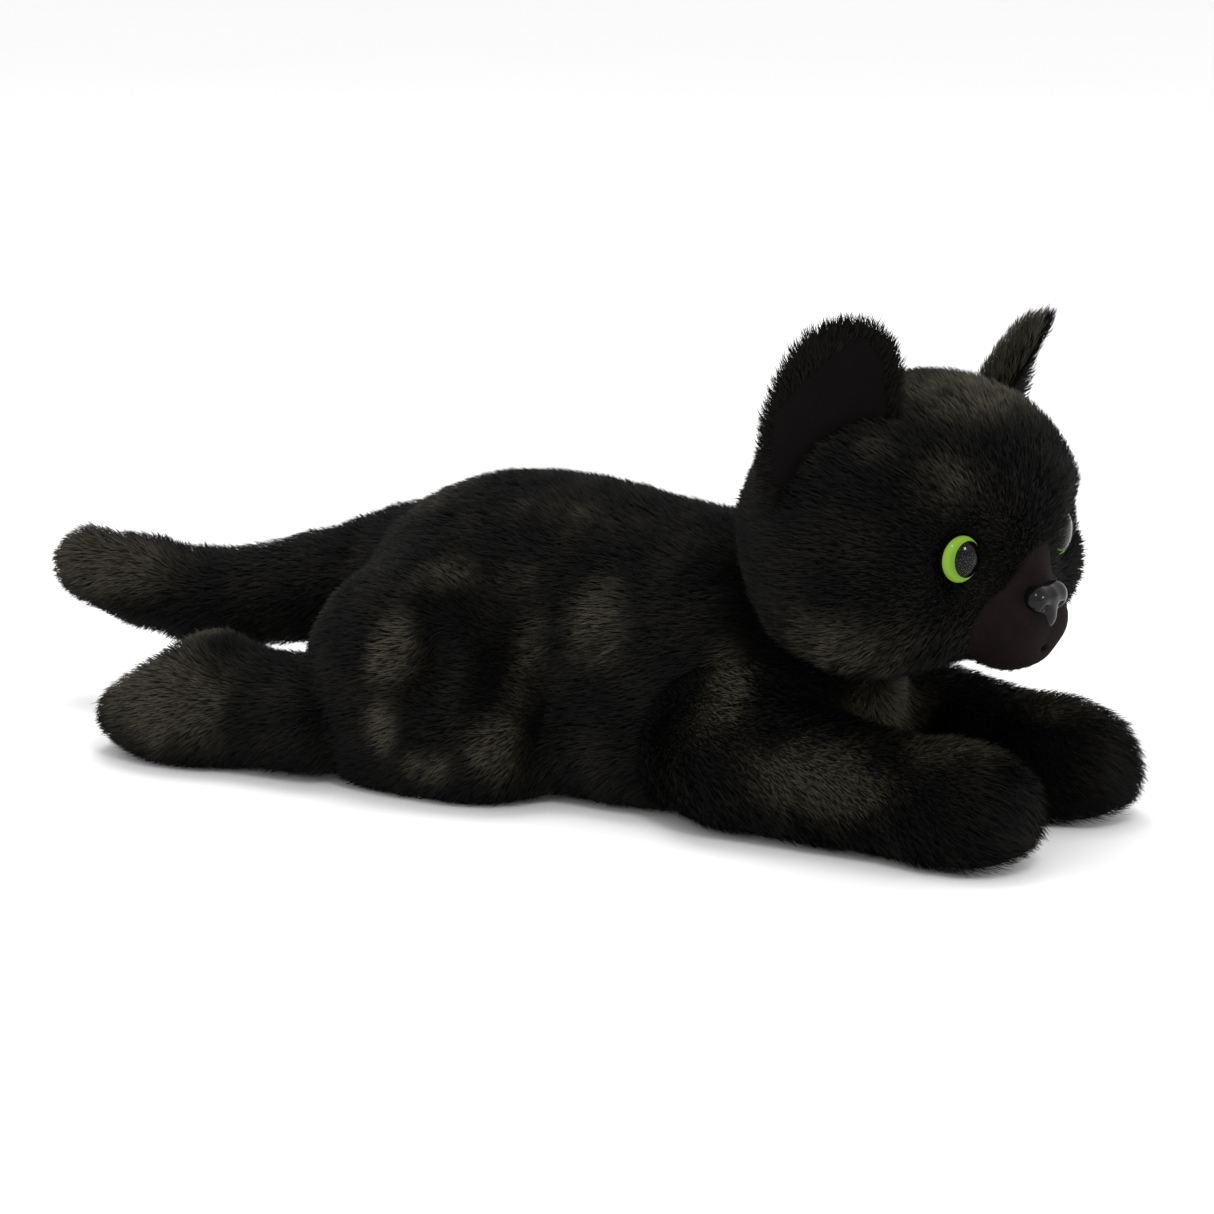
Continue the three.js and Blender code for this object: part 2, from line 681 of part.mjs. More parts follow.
const frontSocket = socket(frontLimb, rightFrontPivot, frontRootRadius, -frontSplay, inwardPlay);
const hindSocket = (rest) =>
  socket(hindLimb, rightHindPivot, hindRootRadius, rest - inwardPlay, rest + hindSplay);
const headSocket = swept(
  headForm(-jointGap),
  headPivot,
  UP,
  headRest - headTurn,
  headRest + headTurn,
);
const sockets = frontSocket
  .add(mirrored(frontSocket))
  .add(hindSocket(hindRest.right))
  .add(mirrored(hindSocket(hindRest.left)))
  .add(socket(tailLimb, tailRoot, tailRootRadius, -tailSwing, tailSwing))
  .add(headSocket);

const torso = layersOf(torsoForm);
const torsoShell = torso.outer.subtract(torso.inner).subtract(sockets);
const bellyBag = { halfLength: 34, halfWidth: 26, height: 16 };
const bellyBagCentre = new THREE.Vector3(0, torsoRear - 0.5 * torsoLength, liningHeight);
const torsoFill = torso.fill.subtract(sockets);
addPiece("belly_panel", torsoShell.intersect(below(bellyPanelHeight - seamGap)), "plush");
const sides = torsoShell.intersect(above(bellyPanelHeight));
addPiece("torso_panel_right", sides.intersect(rightOf(-seamGap / 2)), "plush");
addPiece("torso_panel_left", sides.intersect(leftOf(seamGap / 2)), "plush");
addPiece("torso_stuffing", torsoFill.subtract(bagForm(bellyBagCentre, fillGap, bellyBag)), "fibre");
addPiece("torso_pellet_bag", torsoFill.intersect(bagForm(bellyBagCentre, 0, bellyBag)), "pellets");

export default toy;
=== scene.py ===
# %% [markdown]
# # A plush cat lying down
# The toy is a sewn skin of short black plush over fibre stuffing, with moulded eyes and nose.
# The packed model gives the places and sizes. This lesson gives it its looks: soft forms that
# flow into each other, a real pile of fine strands, and glossy eyes.

# %% Load the frame
import json
import math

import bpy
import numpy as np
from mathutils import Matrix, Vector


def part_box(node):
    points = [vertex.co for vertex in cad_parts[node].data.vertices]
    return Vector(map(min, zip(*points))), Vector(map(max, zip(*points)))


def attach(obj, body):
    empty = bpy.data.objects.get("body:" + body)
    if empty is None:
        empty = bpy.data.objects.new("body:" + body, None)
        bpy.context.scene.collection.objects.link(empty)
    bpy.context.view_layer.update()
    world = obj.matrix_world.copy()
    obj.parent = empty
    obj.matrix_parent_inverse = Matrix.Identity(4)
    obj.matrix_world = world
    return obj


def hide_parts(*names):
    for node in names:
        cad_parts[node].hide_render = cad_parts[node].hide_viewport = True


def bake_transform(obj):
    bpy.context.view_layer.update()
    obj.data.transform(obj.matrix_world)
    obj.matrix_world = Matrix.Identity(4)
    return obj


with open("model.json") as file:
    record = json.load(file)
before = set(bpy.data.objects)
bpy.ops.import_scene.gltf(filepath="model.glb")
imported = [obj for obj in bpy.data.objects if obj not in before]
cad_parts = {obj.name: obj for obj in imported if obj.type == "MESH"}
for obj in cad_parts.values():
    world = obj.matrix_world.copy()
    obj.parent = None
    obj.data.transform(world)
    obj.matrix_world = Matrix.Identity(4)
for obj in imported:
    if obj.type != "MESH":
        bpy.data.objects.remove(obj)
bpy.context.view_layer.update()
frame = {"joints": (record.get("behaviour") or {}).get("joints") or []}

import openvdb
from mathutils import Vector

mm = 0.001
joints = {joint["name"]: joint for joint in frame["joints"]}

# %% [markdown]
# ## Camera
# The cat faces -Y and its right side is seen, from a little above. A wide pale floor runs
# into a pale surround, so that the black pile reads against white. A long lens keeps the near
# and the far paws at about the same size.

# %% Camera
def placed(name, data):
    """Puts a mesh, a lamp or a camera into the scene."""
    made = bpy.data.objects.new(name, data)
    bpy.context.scene.collection.objects.link(made)
    return made


view_azimuth = math.radians(-56)
view_elevation = math.radians(12.5)
view_distance = 1.35
view_centre = Vector((0, -0.022, 0.056))
field_width = 0.408
sensor_width = 36
towards_camera = Vector((
    math.sin(view_azimuth) * math.cos(view_elevation),
    -math.cos(view_azimuth) * math.cos(view_elevation),
    math.sin(view_elevation),
))
camera_data = bpy.data.cameras.new("camera")
camera_data.sensor_width = sensor_width
camera_data.lens = sensor_width * view_distance / field_width
camera = placed("camera", camera_data)
camera.location = view_centre + towards_camera * view_distance
camera.rotation_euler = towards_camera.to_track_quat("Z", "Y").to_euler()
bpy.context.scene.camera = camera
print("lens", round(camera_data.lens, 1), "mm")

# %% [markdown]
# ## Shader sums
# A finish that varies over its surface is a few noises, sums and mixed colours. Sums written
# as plain Python are easier to read than Math nodes wired one by one, so a small class wraps
# a socket, and one function adds any other node.

# %% Shader helper
class Wire:
    """A shader socket that takes part in sums: an expression adds the Math nodes it needs."""

    def __init__(self, tree, socket):
        self.tree = tree
        self.socket = socket

    def maths(self, operation, *values):
        return node(self.tree, "ShaderNodeMath", {"operation": operation}, *values)[0]

    def __add__(self, other):
        return self.maths("ADD", self, other)

    def __radd__(self, other):
        return self.maths("ADD", other, self)

    def __mul__(self, other):
        return self.maths("MULTIPLY", self, other)

    def __rmul__(self, other):
        return self.maths("MULTIPLY", other, self)


print("sums that work from the right too:", [key for key in vars(Wire) if key.startswith("__r")])

# %% Any other node
def node(tree, kind, settings=None, *values, **named):
    """Adds a node: its settings first, then the values or wires of its sockets."""
    made = tree.nodes.new(kind)
    for name, value in (settings or {}).items():
        setattr(made, name, value)
    pairs = [*enumerate(values), *((key.replace("_", " "), value) for key, value in named.items())]
    for key, value in pairs:
        if isinstance(value, Wire):
            tree.links.new(value.socket, made.inputs[key])
        else:
            made.inputs[key].default_value = value
    return [Wire(tree, socket) for socket in made.outputs if socket.enabled]

# %% Materials
def new_material(name, **constants):
    """A Principled material whose unvarying numbers are set on the shader's own sockets."""
    material = bpy.data.materials.new(name)
    material.use_nodes = True
    tree = material.node_tree
    shader = tree.nodes["Principled BSDF"]
    for key, value in constants.items():
        shader.inputs[key.replace("_", " ")].default_value = value
    return material, tree, shader

# %% Colours, bumps and noise
def mix_colours(tree, share, first, second):
    """The first colour where the share is 0 and the second where it is 1."""
    mixer = node(tree, "ShaderNodeMix", {"data_type": "RGBA"})[0].socket.node
    # A Mix node keeps its factor in socket 0, its two colours in 6 and 7 and the mix in output 2.
    for place, value in ((0, share), (6, first), (7, second)):
        if isinstance(value, Wire):
            tree.links.new(value.socket, mixer.inputs[place])
        else:
            mixer.inputs[place].default_value = (*value, 1) if place else value
    return Wire(tree, mixer.outputs[2])


def feed(tree, shader, name, wire):
    tree.links.new(wire.socket, shader.inputs[name])


def bump(tree, shader, height, distance, strength=1.0):
    made = node(tree, "ShaderNodeBump", None, Strength=strength, Distance=distance, Height=height)
    feed(tree, shader, "Normal", made[0])


def place_noise(tree, scale, detail=2.0):
    """Noise by the place on the piece, from 0 to 1."""
    on_piece = node(tree, "ShaderNodeTexCoord")[3]  # the fourth output is the Object place
    return node(tree, "ShaderNodeTexNoise", None, Vector=on_piece, Scale=scale, Detail=detail)[0]

# %% [markdown]
# ## Floor and light
# The toy lies on white paper in a white room. A key lamp stands above the side that is seen,
# a wide lamp overhead lights the back, and a small one in front of the face gives the eyes
# and the nose their highlights.

# %% Floor and light
floor_mesh = bpy.data.meshes.new("floor")
reach = 6.0
floor_mesh.from_pydata(
    [(-reach, -reach, 0), (reach, -reach, 0), (reach, reach, 0), (-reach, reach, 0)],
    [],
    [(0, 1, 2, 3)],
)
floor = placed("floor", floor_mesh)
floor_material, floor_tree, floor_shader = new_material("floor_paper", Roughness=0.9)
floor_shade = place_noise(floor_tree, 3.0)
floor_colour = mix_colours(floor_tree, floor_shade, (0.93, 0.93, 0.93), (0.95, 0.95, 0.95))
feed(floor_tree, floor_shader, "Base Color", floor_colour)
floor_mesh.materials.append(floor_material)

world = bpy.data.worlds.new("surround")
world.use_nodes = True
world.node_tree.nodes["Background"].inputs[0].default_value = (1, 1, 1, 1)
world.node_tree.nodes["Background"].inputs[1].default_value = 1.0
bpy.context.scene.world = world
bpy.context.scene.view_settings.view_transform = "Standard"


def soft_lamp(name, place, size, power, target=(0, -0.03, 0.05)):
    data = bpy.data.lights.new(name, "AREA")
    data.size = size
    data.energy = power
    lamp = placed(name, data)
    lamp.location = place
    lamp.rotation_euler = (Vector(place) - Vector(target)).to_track_quat("Z", "Y").to_euler()
    print(name, power, "W")


soft_lamp("key_lamp", (-0.9, -1.0, 1.5), 0.32, 9)
soft_lamp("top_lamp", (0.2, 0.3, 1.7), 0.8, 10)
soft_lamp("face_lamp", (0.25, -1.4, 0.44), 0.16, 3.5, (-0.03, -0.17, 0.09))

# %% [markdown]
# ## Soft forms as distance fields
# A stuffed toy has no hard edges: a thigh swells out of the body and a leg grows out of the
# chest. Such forms are easy to write as distances. Each ball, egg and tapered tube says how
# far any point is from it, and a smooth minimum melts one into the next. The surface where
# the distance is zero becomes a mesh through a volume grid.

# %% Distance helpers
plump = 1.5 * mm
floor_gap = 0.4 * mm


def both_sides(points):
    """Folds the right half onto the left, so that one form serves both sides."""
    return np.abs(points) * np.array([1, 0, 0]) + points * np.array([0, 1, 1])


def egg(points, centre, radii):
    """About the distance from an ellipsoid, negative inside."""
    scaled = (points - np.array(centre)) / np.array(radii)
    near = np.linalg.norm(scaled, axis=-1)
    steep = np.linalg.norm(scaled / np.array(radii), axis=-1)
    return near * (near - 1) / np.maximum(steep, 1e-9)


def tapered(points, start, end, start_radius, end_radius):
    """The distance from a tube with round ends that gets thinner or thicker."""
    start = np.array(start)
    span = np.array(end) - start
    share = np.clip(((points - start) @ span) / (span @ span), 0, 1)
    middle = start + share[..., None] * span
    radius = start_radius + share * (end_radius - start_radius)
    return np.linalg.norm(points - middle, axis=-1) - radius


def melt(first, second, width):
    """The smooth minimum: two forms flow together over about this width."""
    share = np.clip(0.5 + 0.5 * (second - first) / width, 0, 1)
    return second + (first - second) * share - width * share * (1 - share)


def carve(form, tool, width):
    """Takes the tool away from the form, with a soft edge."""
    return -melt(-form, tool, width)


def on_floor(points, form, width=7 * mm):
    """Flattens a form where it rests on the floor."""
    return carve(form, points[..., 2] - floor_gap, width)


def mirror(points):
    return points * np.array([-1, 1, 1])


print("forms are plumped by", round(plump / mm, 1), "mm")

# %% [markdown]
# ## From a field to a mesh
# The field is sampled on a fine grid of points, and the volume library walks the grid and
# lays a quad wherever the sign changes. The result is closed and even, with no poles to hide,
# which suits a skin that the pile grows from.

# %% From a field to a mesh
def smooth_piece(name, corners, faces):
    """A piece with smooth shading, from its corners and faces."""
    mesh = bpy.data.meshes.new(name)
    mesh.from_pydata(corners, [], faces)
    mesh.polygons.foreach_set("use_smooth", np.ones(len(faces), bool))
    mesh.update()
    return placed(name, mesh)


def skin_of(name, field, low, high, cell):
    """A closed quad mesh where the field is zero, inside the box from low to high."""
    low = np.array(low)
    counts = np.ceil((np.array(high) - low) / cell).astype(int) + 1
    axes = [low[i] + cell * np.arange(counts[i]) for i in range(3)]
    points = np.stack(np.meshgrid(*axes, indexing="ij"), axis=-1)
    band = 4 * cell
    values = np.clip(field(points), -band, band).astype(np.float32)
    grid = openvdb.FloatGrid()
    grid.background = band
    grid.copyFromArray(values)
    corners, quads = grid.convertToQuads(isovalue=0)
    print(name, len(quads), "faces")
    return smooth_piece(name, (low + corners * cell).tolist(), quads.tolist())

# %% [markdown]
# ## The body
# The trunk is one long pillow: chest, back and rump melt together, and a thigh swells out at
# each side with a shallow hollow where it is tacked to the body. The rump's end, the back's
# height and the reach of the hips are read from the packed pieces' boxes, so the soft form lies
# where the pattern pieces are; the other places are given in millimetres.

# %% Torso form
def centre_and_half(*nodes):
    corners = [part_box(name) for name in nodes]
    low = np.min([np.array(c[0]) for c in corners], axis=0)
    high = np.max([np.array(c[1]) for c in corners], axis=0)
    return (low + high) / 2, (high - low) / 2


torso_centre, torso_half = centre_and_half("torso_panel_right", "torso_panel_left", "belly_panel")
rump_end = torso_centre[1] + torso_half[1]
back_height = torso_centre[2] + torso_half[2]
hip_reach = torso_half[0]
hip_pivot = np.array(joints["hind_leg_right_splay"]["pos_m"])
shoulder_pivot = np.array(joints["front_leg_right_splay"]["pos_m"])


def torso_field(points):
    side = both_sides(points)
    rump = egg(points, (0, rump_end - 46 * mm, 44 * mm), (47 * mm, 46 * mm, 45 * mm))
    middle = egg(points, (0, -14 * mm, 47 * mm), (46 * mm, 64 * mm, back_height - 47.5 * mm))
    chest = egg(points, (0, -74 * mm, 46 * mm), (44 * mm, 48 * mm, 43 * mm))
    throat = egg(points, (0, -104 * mm, 36 * mm), (23 * mm, 25 * mm, 28 * mm))
    form = melt(melt(rump, middle, 22 * mm), chest, 22 * mm)
    form = melt(form, throat, 16 * mm)
    belly = egg(points, (0, -48 * mm, 19 * mm), (50 * mm, 66 * mm, 24 * mm))
    form = melt(form, belly, 16 * mm)
    thigh = egg(side, (hip_reach - 31 * mm, 20 * mm, 31 * mm), (30 * mm, 41 * mm, 42 * mm))
    knee = egg(side, (hip_reach - 27 * mm, -6 * mm, 20 * mm), (22 * mm, 26 * mm, 22 * mm))
    form = melt(form, melt(thigh, knee, 12 * mm), 12 * mm)
    hollow = egg(side, (hip_reach + 3 * mm, -2 * mm, 48 * mm), (19 * mm, 12 * mm, 16 * mm))
    form = carve(form, hollow, 7 * mm)
    tack = egg(side, (hip_reach - 13 * mm, -33 * mm, 44 * mm), (17 * mm, 1.8 * mm, 27 * mm))
    form = carve(form, tack, 5 * mm)
    form -= plump
    return on_floor(points, form)


print("torso is", round(2 * torso_half[1] / mm), "mm long")

# %% [markdown]
# ## Legs and tail
# Each limb is a sleeve of plush with filling pushed into it, so it is roundest at the paw and
# slack at the joint. The front legs mirror each other. The far hind leg lies splayed, so its
# points are turned back before the near leg's form is asked. The tail is a chain of tapered
# lengths, because it sags and bends to one side.

# %% Leg and tail forms
wrist_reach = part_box("front_leg_stuffing_right")[0][1]
foot_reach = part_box("hind_leg_stuffing_right")[1][1] - 4 * mm
tail_pivot = np.array(joints["tail_swing"]["pos_m"])
tail_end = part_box("tail_stuffing")[1][1] - 3 * mm
foot_splay = math.radians(12)
sole_slope = np.array([0, 0.58, 0.815])


def front_limb(points):
    """The right front leg: a stuffed sleeve that swells into a round paw."""
    x, y, _ = shoulder_pivot
    tip = wrist_reach + 2 * mm
    shoulder, wrist = (x, y + 3 * mm, 23 * mm), (x + 3 * mm, tip + 36 * mm, 18 * mm)
    sleeve = tapered(points, shoulder, wrist, 22 * mm, 18 * mm)
    paw = egg(points, (x + 5 * mm, tip + 20 * mm, 17 * mm), (21 * mm, 21.5 * mm, 19.5 * mm))
    return on_floor(points, melt(sleeve, paw, 9 * mm))

# %% Hind leg form
def hind_limb(points):
    """The right hind leg: an ankle, then a peaked foot whose sole slopes down and back."""
    x, y, _ = hip_pivot
    heel = foot_reach - 44 * mm
    ankle = tapered(points, (x, y, 21 * mm), (x - 2 * mm, heel, 19 * mm), 18.5 * mm, 19 * mm)
    foot = egg(points, (x - 3 * mm, foot_reach - 35 * mm, 20 * mm), (24.5 * mm, 35 * mm, 25 * mm))
    form = melt(ankle, foot, 6 * mm)
    sole = (points - np.array([x, foot_reach - 38 * mm, 40 * mm])) @ sole_slope
    form = -melt(-form, -sole, 7 * mm)
    return on_floor(points, form)


def splayed(points):
    """Points seen from the left hind leg, which lies splayed, as if it were the right one."""
    turned = mirror(points) - hip_pivot
    cos, sin = math.cos(foot_splay), math.sin(foot_splay)
    x = cos * turned[..., 0] + sin * turned[..., 1]
    y = -sin * turned[..., 0] + cos * turned[..., 1]
    return np.stack([x, y, turned[..., 2]], axis=-1) + hip_pivot

# %% Tail form
# Stops along the tail: the share of its length, then side, drop and radius in millimetres.
tail_route = [
    (0.0, 0.0, 0.0, 17.0),
    (0.3, -1.5, -14.0, 16.5),
    (0.62, -8.0, -23.0, 15.5),
    (0.85, -15.0, -18.0, 13.5),
    (1.0, -20.0, -13.0, 11.5),
]


def tail_form(points):
    """Tapered lengths that follow the tail's sag and its bend to one side."""
    start = tail_pivot[1]
    length = tail_end - 12 * mm - start
    form = None
    stops = [
        (np.array([side * mm, start + share * length, tail_pivot[2] + drop * mm]), radius * mm)
        for share, side, drop, radius in tail_route
    ]
    for (place, radius), (next_place, next_radius) in zip(stops, stops[1:]):
        length_form = tapered(points, place, next_place, radius, next_radius)
        form = length_form if form is None else melt(form, length_form, 5 * mm)
    return form


print("tail is", round((tail_end - tail_pivot[1]) / mm), "mm long")

# %% [markdown]
# ## The head
# The head is a round pillow with full cheeks, a short muzzle and two shallow sockets for the
# eyes. It is modelled looking straight ahead and then turned a little to the cat's right, by
# the angle that the two eyes' places give.

# %% Head form
head_pivot = np.array(joints["head_turn"]["pos_m"])
right_eye, _ = centre_and_half("eye_lens_right")
left_eye, _ = centre_and_half("eye_lens_left")
head_yaw = math.atan2(left_eye[1] - right_eye[1], left_eye[0] - right_eye[0])
yaw_cos, yaw_sin = math.cos(head_yaw), math.sin(head_yaw)
head_rotation = np.array([[yaw_cos, -yaw_sin, 0], [yaw_sin, yaw_cos, 0], [0, 0, 1]])


def to_head(points):
    """Places of the toy as seen by a head that looks straight ahead."""
    return (points - head_pivot) @ head_rotation + head_pivot


def from_head(points):
    return (np.array(points) - head_pivot) @ head_rotation.T + head_pivot


print("head turned", round(math.degrees(head_yaw), 1), "degrees")

# %% Places on the head
skull_height = centre_and_half("crown_gusset", "chin_panel")[0][2]
skull = np.array([0, head_pivot[1] - 16 * mm, skull_height])
eye_in_head = to_head(left_eye)
nose_in_head = to_head(centre_and_half("nose_cap")[0])
nose_front = to_head(np.array(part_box("nose_cap")[0]))[1]
dome_radius = 8.0 * mm
dome_height = 4.9 * mm
eye_proud = 1.2 * mm
eye_outward = math.radians(17)
eye_looks = np.array([math.sin(eye_outward), -math.cos(eye_outward), 0])
eye_rim = eye_in_head - eye_looks * (dome_height / 2 - eye_proud)
seat_radius = 14 * mm
seat_centre = eye_rim + eye_looks * math.sqrt(seat_radius ** 2 - (1.06 * dome_radius) ** 2)
print("eyes are", round(2 * eye_in_head[0] / mm, 1), "mm apart")

# %% The head's field
def head_field(points):
    straight = to_head(points)
    side = both_sides(straight)
    ball = egg(straight, skull + np.array([0, 0, 1.5 * mm]), (54 * mm, 47 * mm, 42.5 * mm))
    cheek = egg(side, (31 * mm, skull[1] - 8 * mm, 82 * mm), (25 * mm, 30 * mm, 21.5 * mm))
    brow = egg(straight, (0, skull[1] - 12 * mm, 112 * mm), (41 * mm, 38 * mm, 29 * mm))
    form = melt(melt(ball, cheek, 14 * mm), brow, 14 * mm)
    socket_place = eye_in_head + np.array([1 * mm, -9 * mm, 0])
    socket = egg(side, socket_place, (13 * mm, 11 * mm, 12 * mm))
    form = carve(form, socket, 9 * mm) - plump
    front = nose_front + 8.5 * mm
    muzzle = egg(straight, (0, front + 12 * mm, 74 * mm), (21 * mm, 18 * mm, 12.5 * mm))
    pad = egg(side, (7.5 * mm, front + 5.2 * mm, 71 * mm), (9.5 * mm, 9 * mm, 8 * mm))
    chin = egg(straight, (0, front + 8 * mm, 63.5 * mm), (11 * mm, 10 * mm, 5.5 * mm))
    bridge_top, bridge_foot = (0, front + 13 * mm, 100 * mm), (0, front + 6 * mm, 80 * mm)
    bridge = tapered(straight, bridge_top, bridge_foot, 9 * mm, 8 * mm)
    form = melt(form, melt(muzzle, pad, 6 * mm), 8 * mm)
    form = melt(form, melt(bridge, chin, 4 * mm), 6 * mm)
    cleft_top, cleft_foot = (0, front - 5.4 * mm, 76 * mm), (0, front - 3 * mm, 65 * mm)
    cleft = tapered(straight, cleft_top, cleft_foot, 1.0 * mm, 1.0 * mm)
    lip_middle, lip_corner = (0, front - 3.6 * mm, 65 * mm), (12 * mm, front + 3 * mm, 62.5 * mm)
    mouth = tapered(side, lip_middle, lip_corner, 1.0 * mm, 0.8 * mm)
    form = carve(carve(form, cleft, 2 * mm), mouth, 2 * mm)
    seat = np.linalg.norm(side - seat_centre, axis=-1) - seat_radius
    return carve(form, seat, 1.2 * mm)

# %% [markdown]
# ## The skins
# Each part that moves has its own skin. Where a limb meets the torso its field is melted with
# the torso's, so the two skins run along each other there, and the limb's is cut off a short
# skirt away from the limb. The overlap keeps the join covered when the joint bends.

# %% Grow the skins
fine = 1.4 * mm
skirt = 10 * mm
under_torso = 0.6 * mm
front_melt, hind_melt, tail_melt = 16 * mm, 4 * mm, 12 * mm


def grown_from_torso(limb, width):
    """The limb flows out of the torso; beyond a skirt round the limb nothing is kept."""

    def field(points):
        own = limb(points)
        joined = melt(own, torso_field(points) + under_torso, width)
        return np.maximum(joined, own - skirt)

    return field


front_right_field = grown_from_torso(front_limb, front_melt)
fields = {
    "torso": torso_field,
    "head": head_field,
    "front_leg_right": front_right_field,
    "front_leg_left": lambda points: front_right_field(mirror(points)),
    "hind_leg_right": grown_from_torso(hind_limb, hind_melt),
    "hind_leg_left": grown_from_torso(lambda points: hind_limb(splayed(points)), hind_melt),
    "tail": grown_from_torso(tail_form, tail_melt),
}
boxes = {
    "torso": ((-86 * mm, -140 * mm, -6 * mm), (86 * mm, 78 * mm, 106 * mm)),
    "head": ((-70 * mm, -212 * mm, 40 * mm), (70 * mm, -70 * mm, 156 * mm)),
    "front_leg_right": ((-76 * mm, -214 * mm, -6 * mm), (4 * mm, -62 * mm, 62 * mm)),
    "front_leg_left": ((-4 * mm, -214 * mm, -6 * mm), (76 * mm, -62 * mm, 62 * mm)),
    "hind_leg_right": ((-104 * mm, 14 * mm, -6 * mm), (-22 * mm, 166 * mm, 62 * mm)),
    "hind_leg_left": ((22 * mm, 10 * mm, -6 * mm), (120 * mm, 166 * mm, 62 * mm)),
    "tail": ((-50 * mm, 30 * mm, 16 * mm), (38 * mm, 218 * mm, 104 * mm)),
}
skins = {name: skin_of(name + "_skin", fields[name], *boxes[name], fine) for name in fields}

# %% [markdown]
# ## Ears
# Each ear is two leaves sewn round their rim: plush behind and velboa in front. The leaf is
# cupped, leans in towards its tip, and carries on a little way into the head, where the seam
# is hidden in the pile.

# %% Ear leaves
ear_half_width = 26 * mm
ear_height = {"right": 41 * mm, "left": 37 * mm}
ear_root = 7 * mm
ear_cup = 9 * mm
ear_lean = 0.58
ear_curl = {"right": 2 * mm, "left": -12 * mm}
ear_base = np.array([35.5 * mm, -134 * mm, 116 * mm])
ear_along = np.array([0.51, 0.54, -0.67])
ear_along /= np.linalg.norm(ear_along)
ear_facing = np.array([0.53, -0.81, -0.25])
ear_facing -= ear_along * (ear_facing @ ear_along)
ear_facing /= np.linalg.norm(ear_facing)
ear_up = np.cross(ear_facing, ear_along)
ear_up *= np.sign(ear_up[2])


def ear_points(across, up, depth, side):
    """Places on a leaf: across from -1 to 1, up from 0 at the root to 1 at the tip."""
    height = ear_height[side]
    rise = up * (height + ear_root) - ear_root
    share = np.clip(rise / height, 0, 1)
    width = ear_half_width * (0.92 + 0.38 * share) * np.sqrt(np.maximum(1 - share ** 3.2, 0.002))
    outer_foot = 0.6 + 0.4 * np.minimum(2.2 * share, 1)
    u = across * width * np.where(across > 0, outer_foot, 1)
    v_lean = -ear_lean * rise
    bow = ear_cup * (u / ear_half_width) ** 2 - ear_curl[side] * share ** 1.8
    rim = 1 - 0.75 * np.abs(across) ** 6
    leaf = ear_base + (u + v_lean)[..., None] * ear_along + rise[..., None] * ear_up
    leaf = leaf + (bow + depth * rim)[..., None] * ear_facing
    if side == "right":
        leaf = mirror(leaf)
    return from_head(leaf)

# %% A closed leaf
def sheet_mesh(name, place, columns, rows):
    """A closed leaf between two depths: place(across, up, layer) with layer 0 or 1."""
    across, up = np.meshgrid(np.linspace(-1, 1, columns), np.linspace(0, 1, rows))
    corners = np.concatenate([place(across, up, layer).reshape(-1, 3) for layer in (0, 1)])
    count = columns * rows
    faces = []
    for j in range(rows - 1):
        for i in range(columns - 1):
            a = j * columns + i
            faces.append((a, a + columns, a + columns + 1, a + 1))
            faces.append((count + a, count + a + 1, count + a + columns + 1, count + a + columns))
    edge = list(range(columns))
    edge += [j * columns + columns - 1 for j in range(1, rows)]
    edge += [(rows - 1) * columns + i for i in range(columns - 2, -1, -1)]
    edge += [j * columns for j in range(rows - 2, 0, -1)]
    for a, b in zip(edge, edge[1:] + edge[:1]):
        faces.append((a, b, count + b, count + a))
    probes = ((0, 0.4, 0), (0.1, 0.4, 0), (0, 0.5, 0), (0, 0.4, 1))
    start, aside, higher, nearer = (place(np.array(a), np.array(u), layer) for a, u, layer in probes)
    if np.cross(aside - start, higher - start) @ (nearer - start) < 0:
        faces = [face[::-1] for face in faces]  # a mirrored leaf would face inwards
    return smooth_piece(name, corners.tolist(), faces)

# %% Both ears
leaf_columns, leaf_rows = 30, 26
leaf_depths = {"ear_back": (-3.4 * mm, -0.4 * mm), "ear_lining": (-0.2 * mm, 1.8 * mm)}
ears = {}
for side in ("right", "left"):
    for leaf, depths in leaf_depths.items():
        def place(across, up, layer, side=side, depths=depths):
            return ear_points(across, up, depths[layer], side)

        ears[leaf, side] = sheet_mesh(f"{leaf}_{side}_leaf", place, leaf_columns, leaf_rows)
print(len(ears), "ear leaves")

# %% [markdown]
# ## The pile
# Plush is a knitted backing with a dense pile of fine fibres that lie over in one direction,
# the nap. Here each strand is a narrow tapered ribbon that rises from the skin and bends over
# along the nap. Strands near each other lean together into small locks, as brushed pile does.
# Ribbons are plain mesh, so the pile moves with its body and stays in the exported model.

# %% Strand growing
chance = np.random.default_rng(20)
lock = 2.4 * mm
lowest_strand = 0.25 * mm


def unit(vectors):
    return vectors / np.maximum(np.linalg.norm(vectors, axis=-1, keepdims=True), 1e-12)


def vectors_of(items, key):
    """One vector for each vertex, as rows of numbers."""
    values = np.empty(len(items) * 3, np.float32)
    items.foreach_get(key, values)
    return values.reshape(-1, 3).astype(float)


def carry(piece, name, values):
    """Stores one number for each vertex, which a finish can read."""
    attribute = piece.data.attributes.new(name, "FLOAT", "POINT")
    attribute.data.foreach_set("value", values.astype(np.float32))

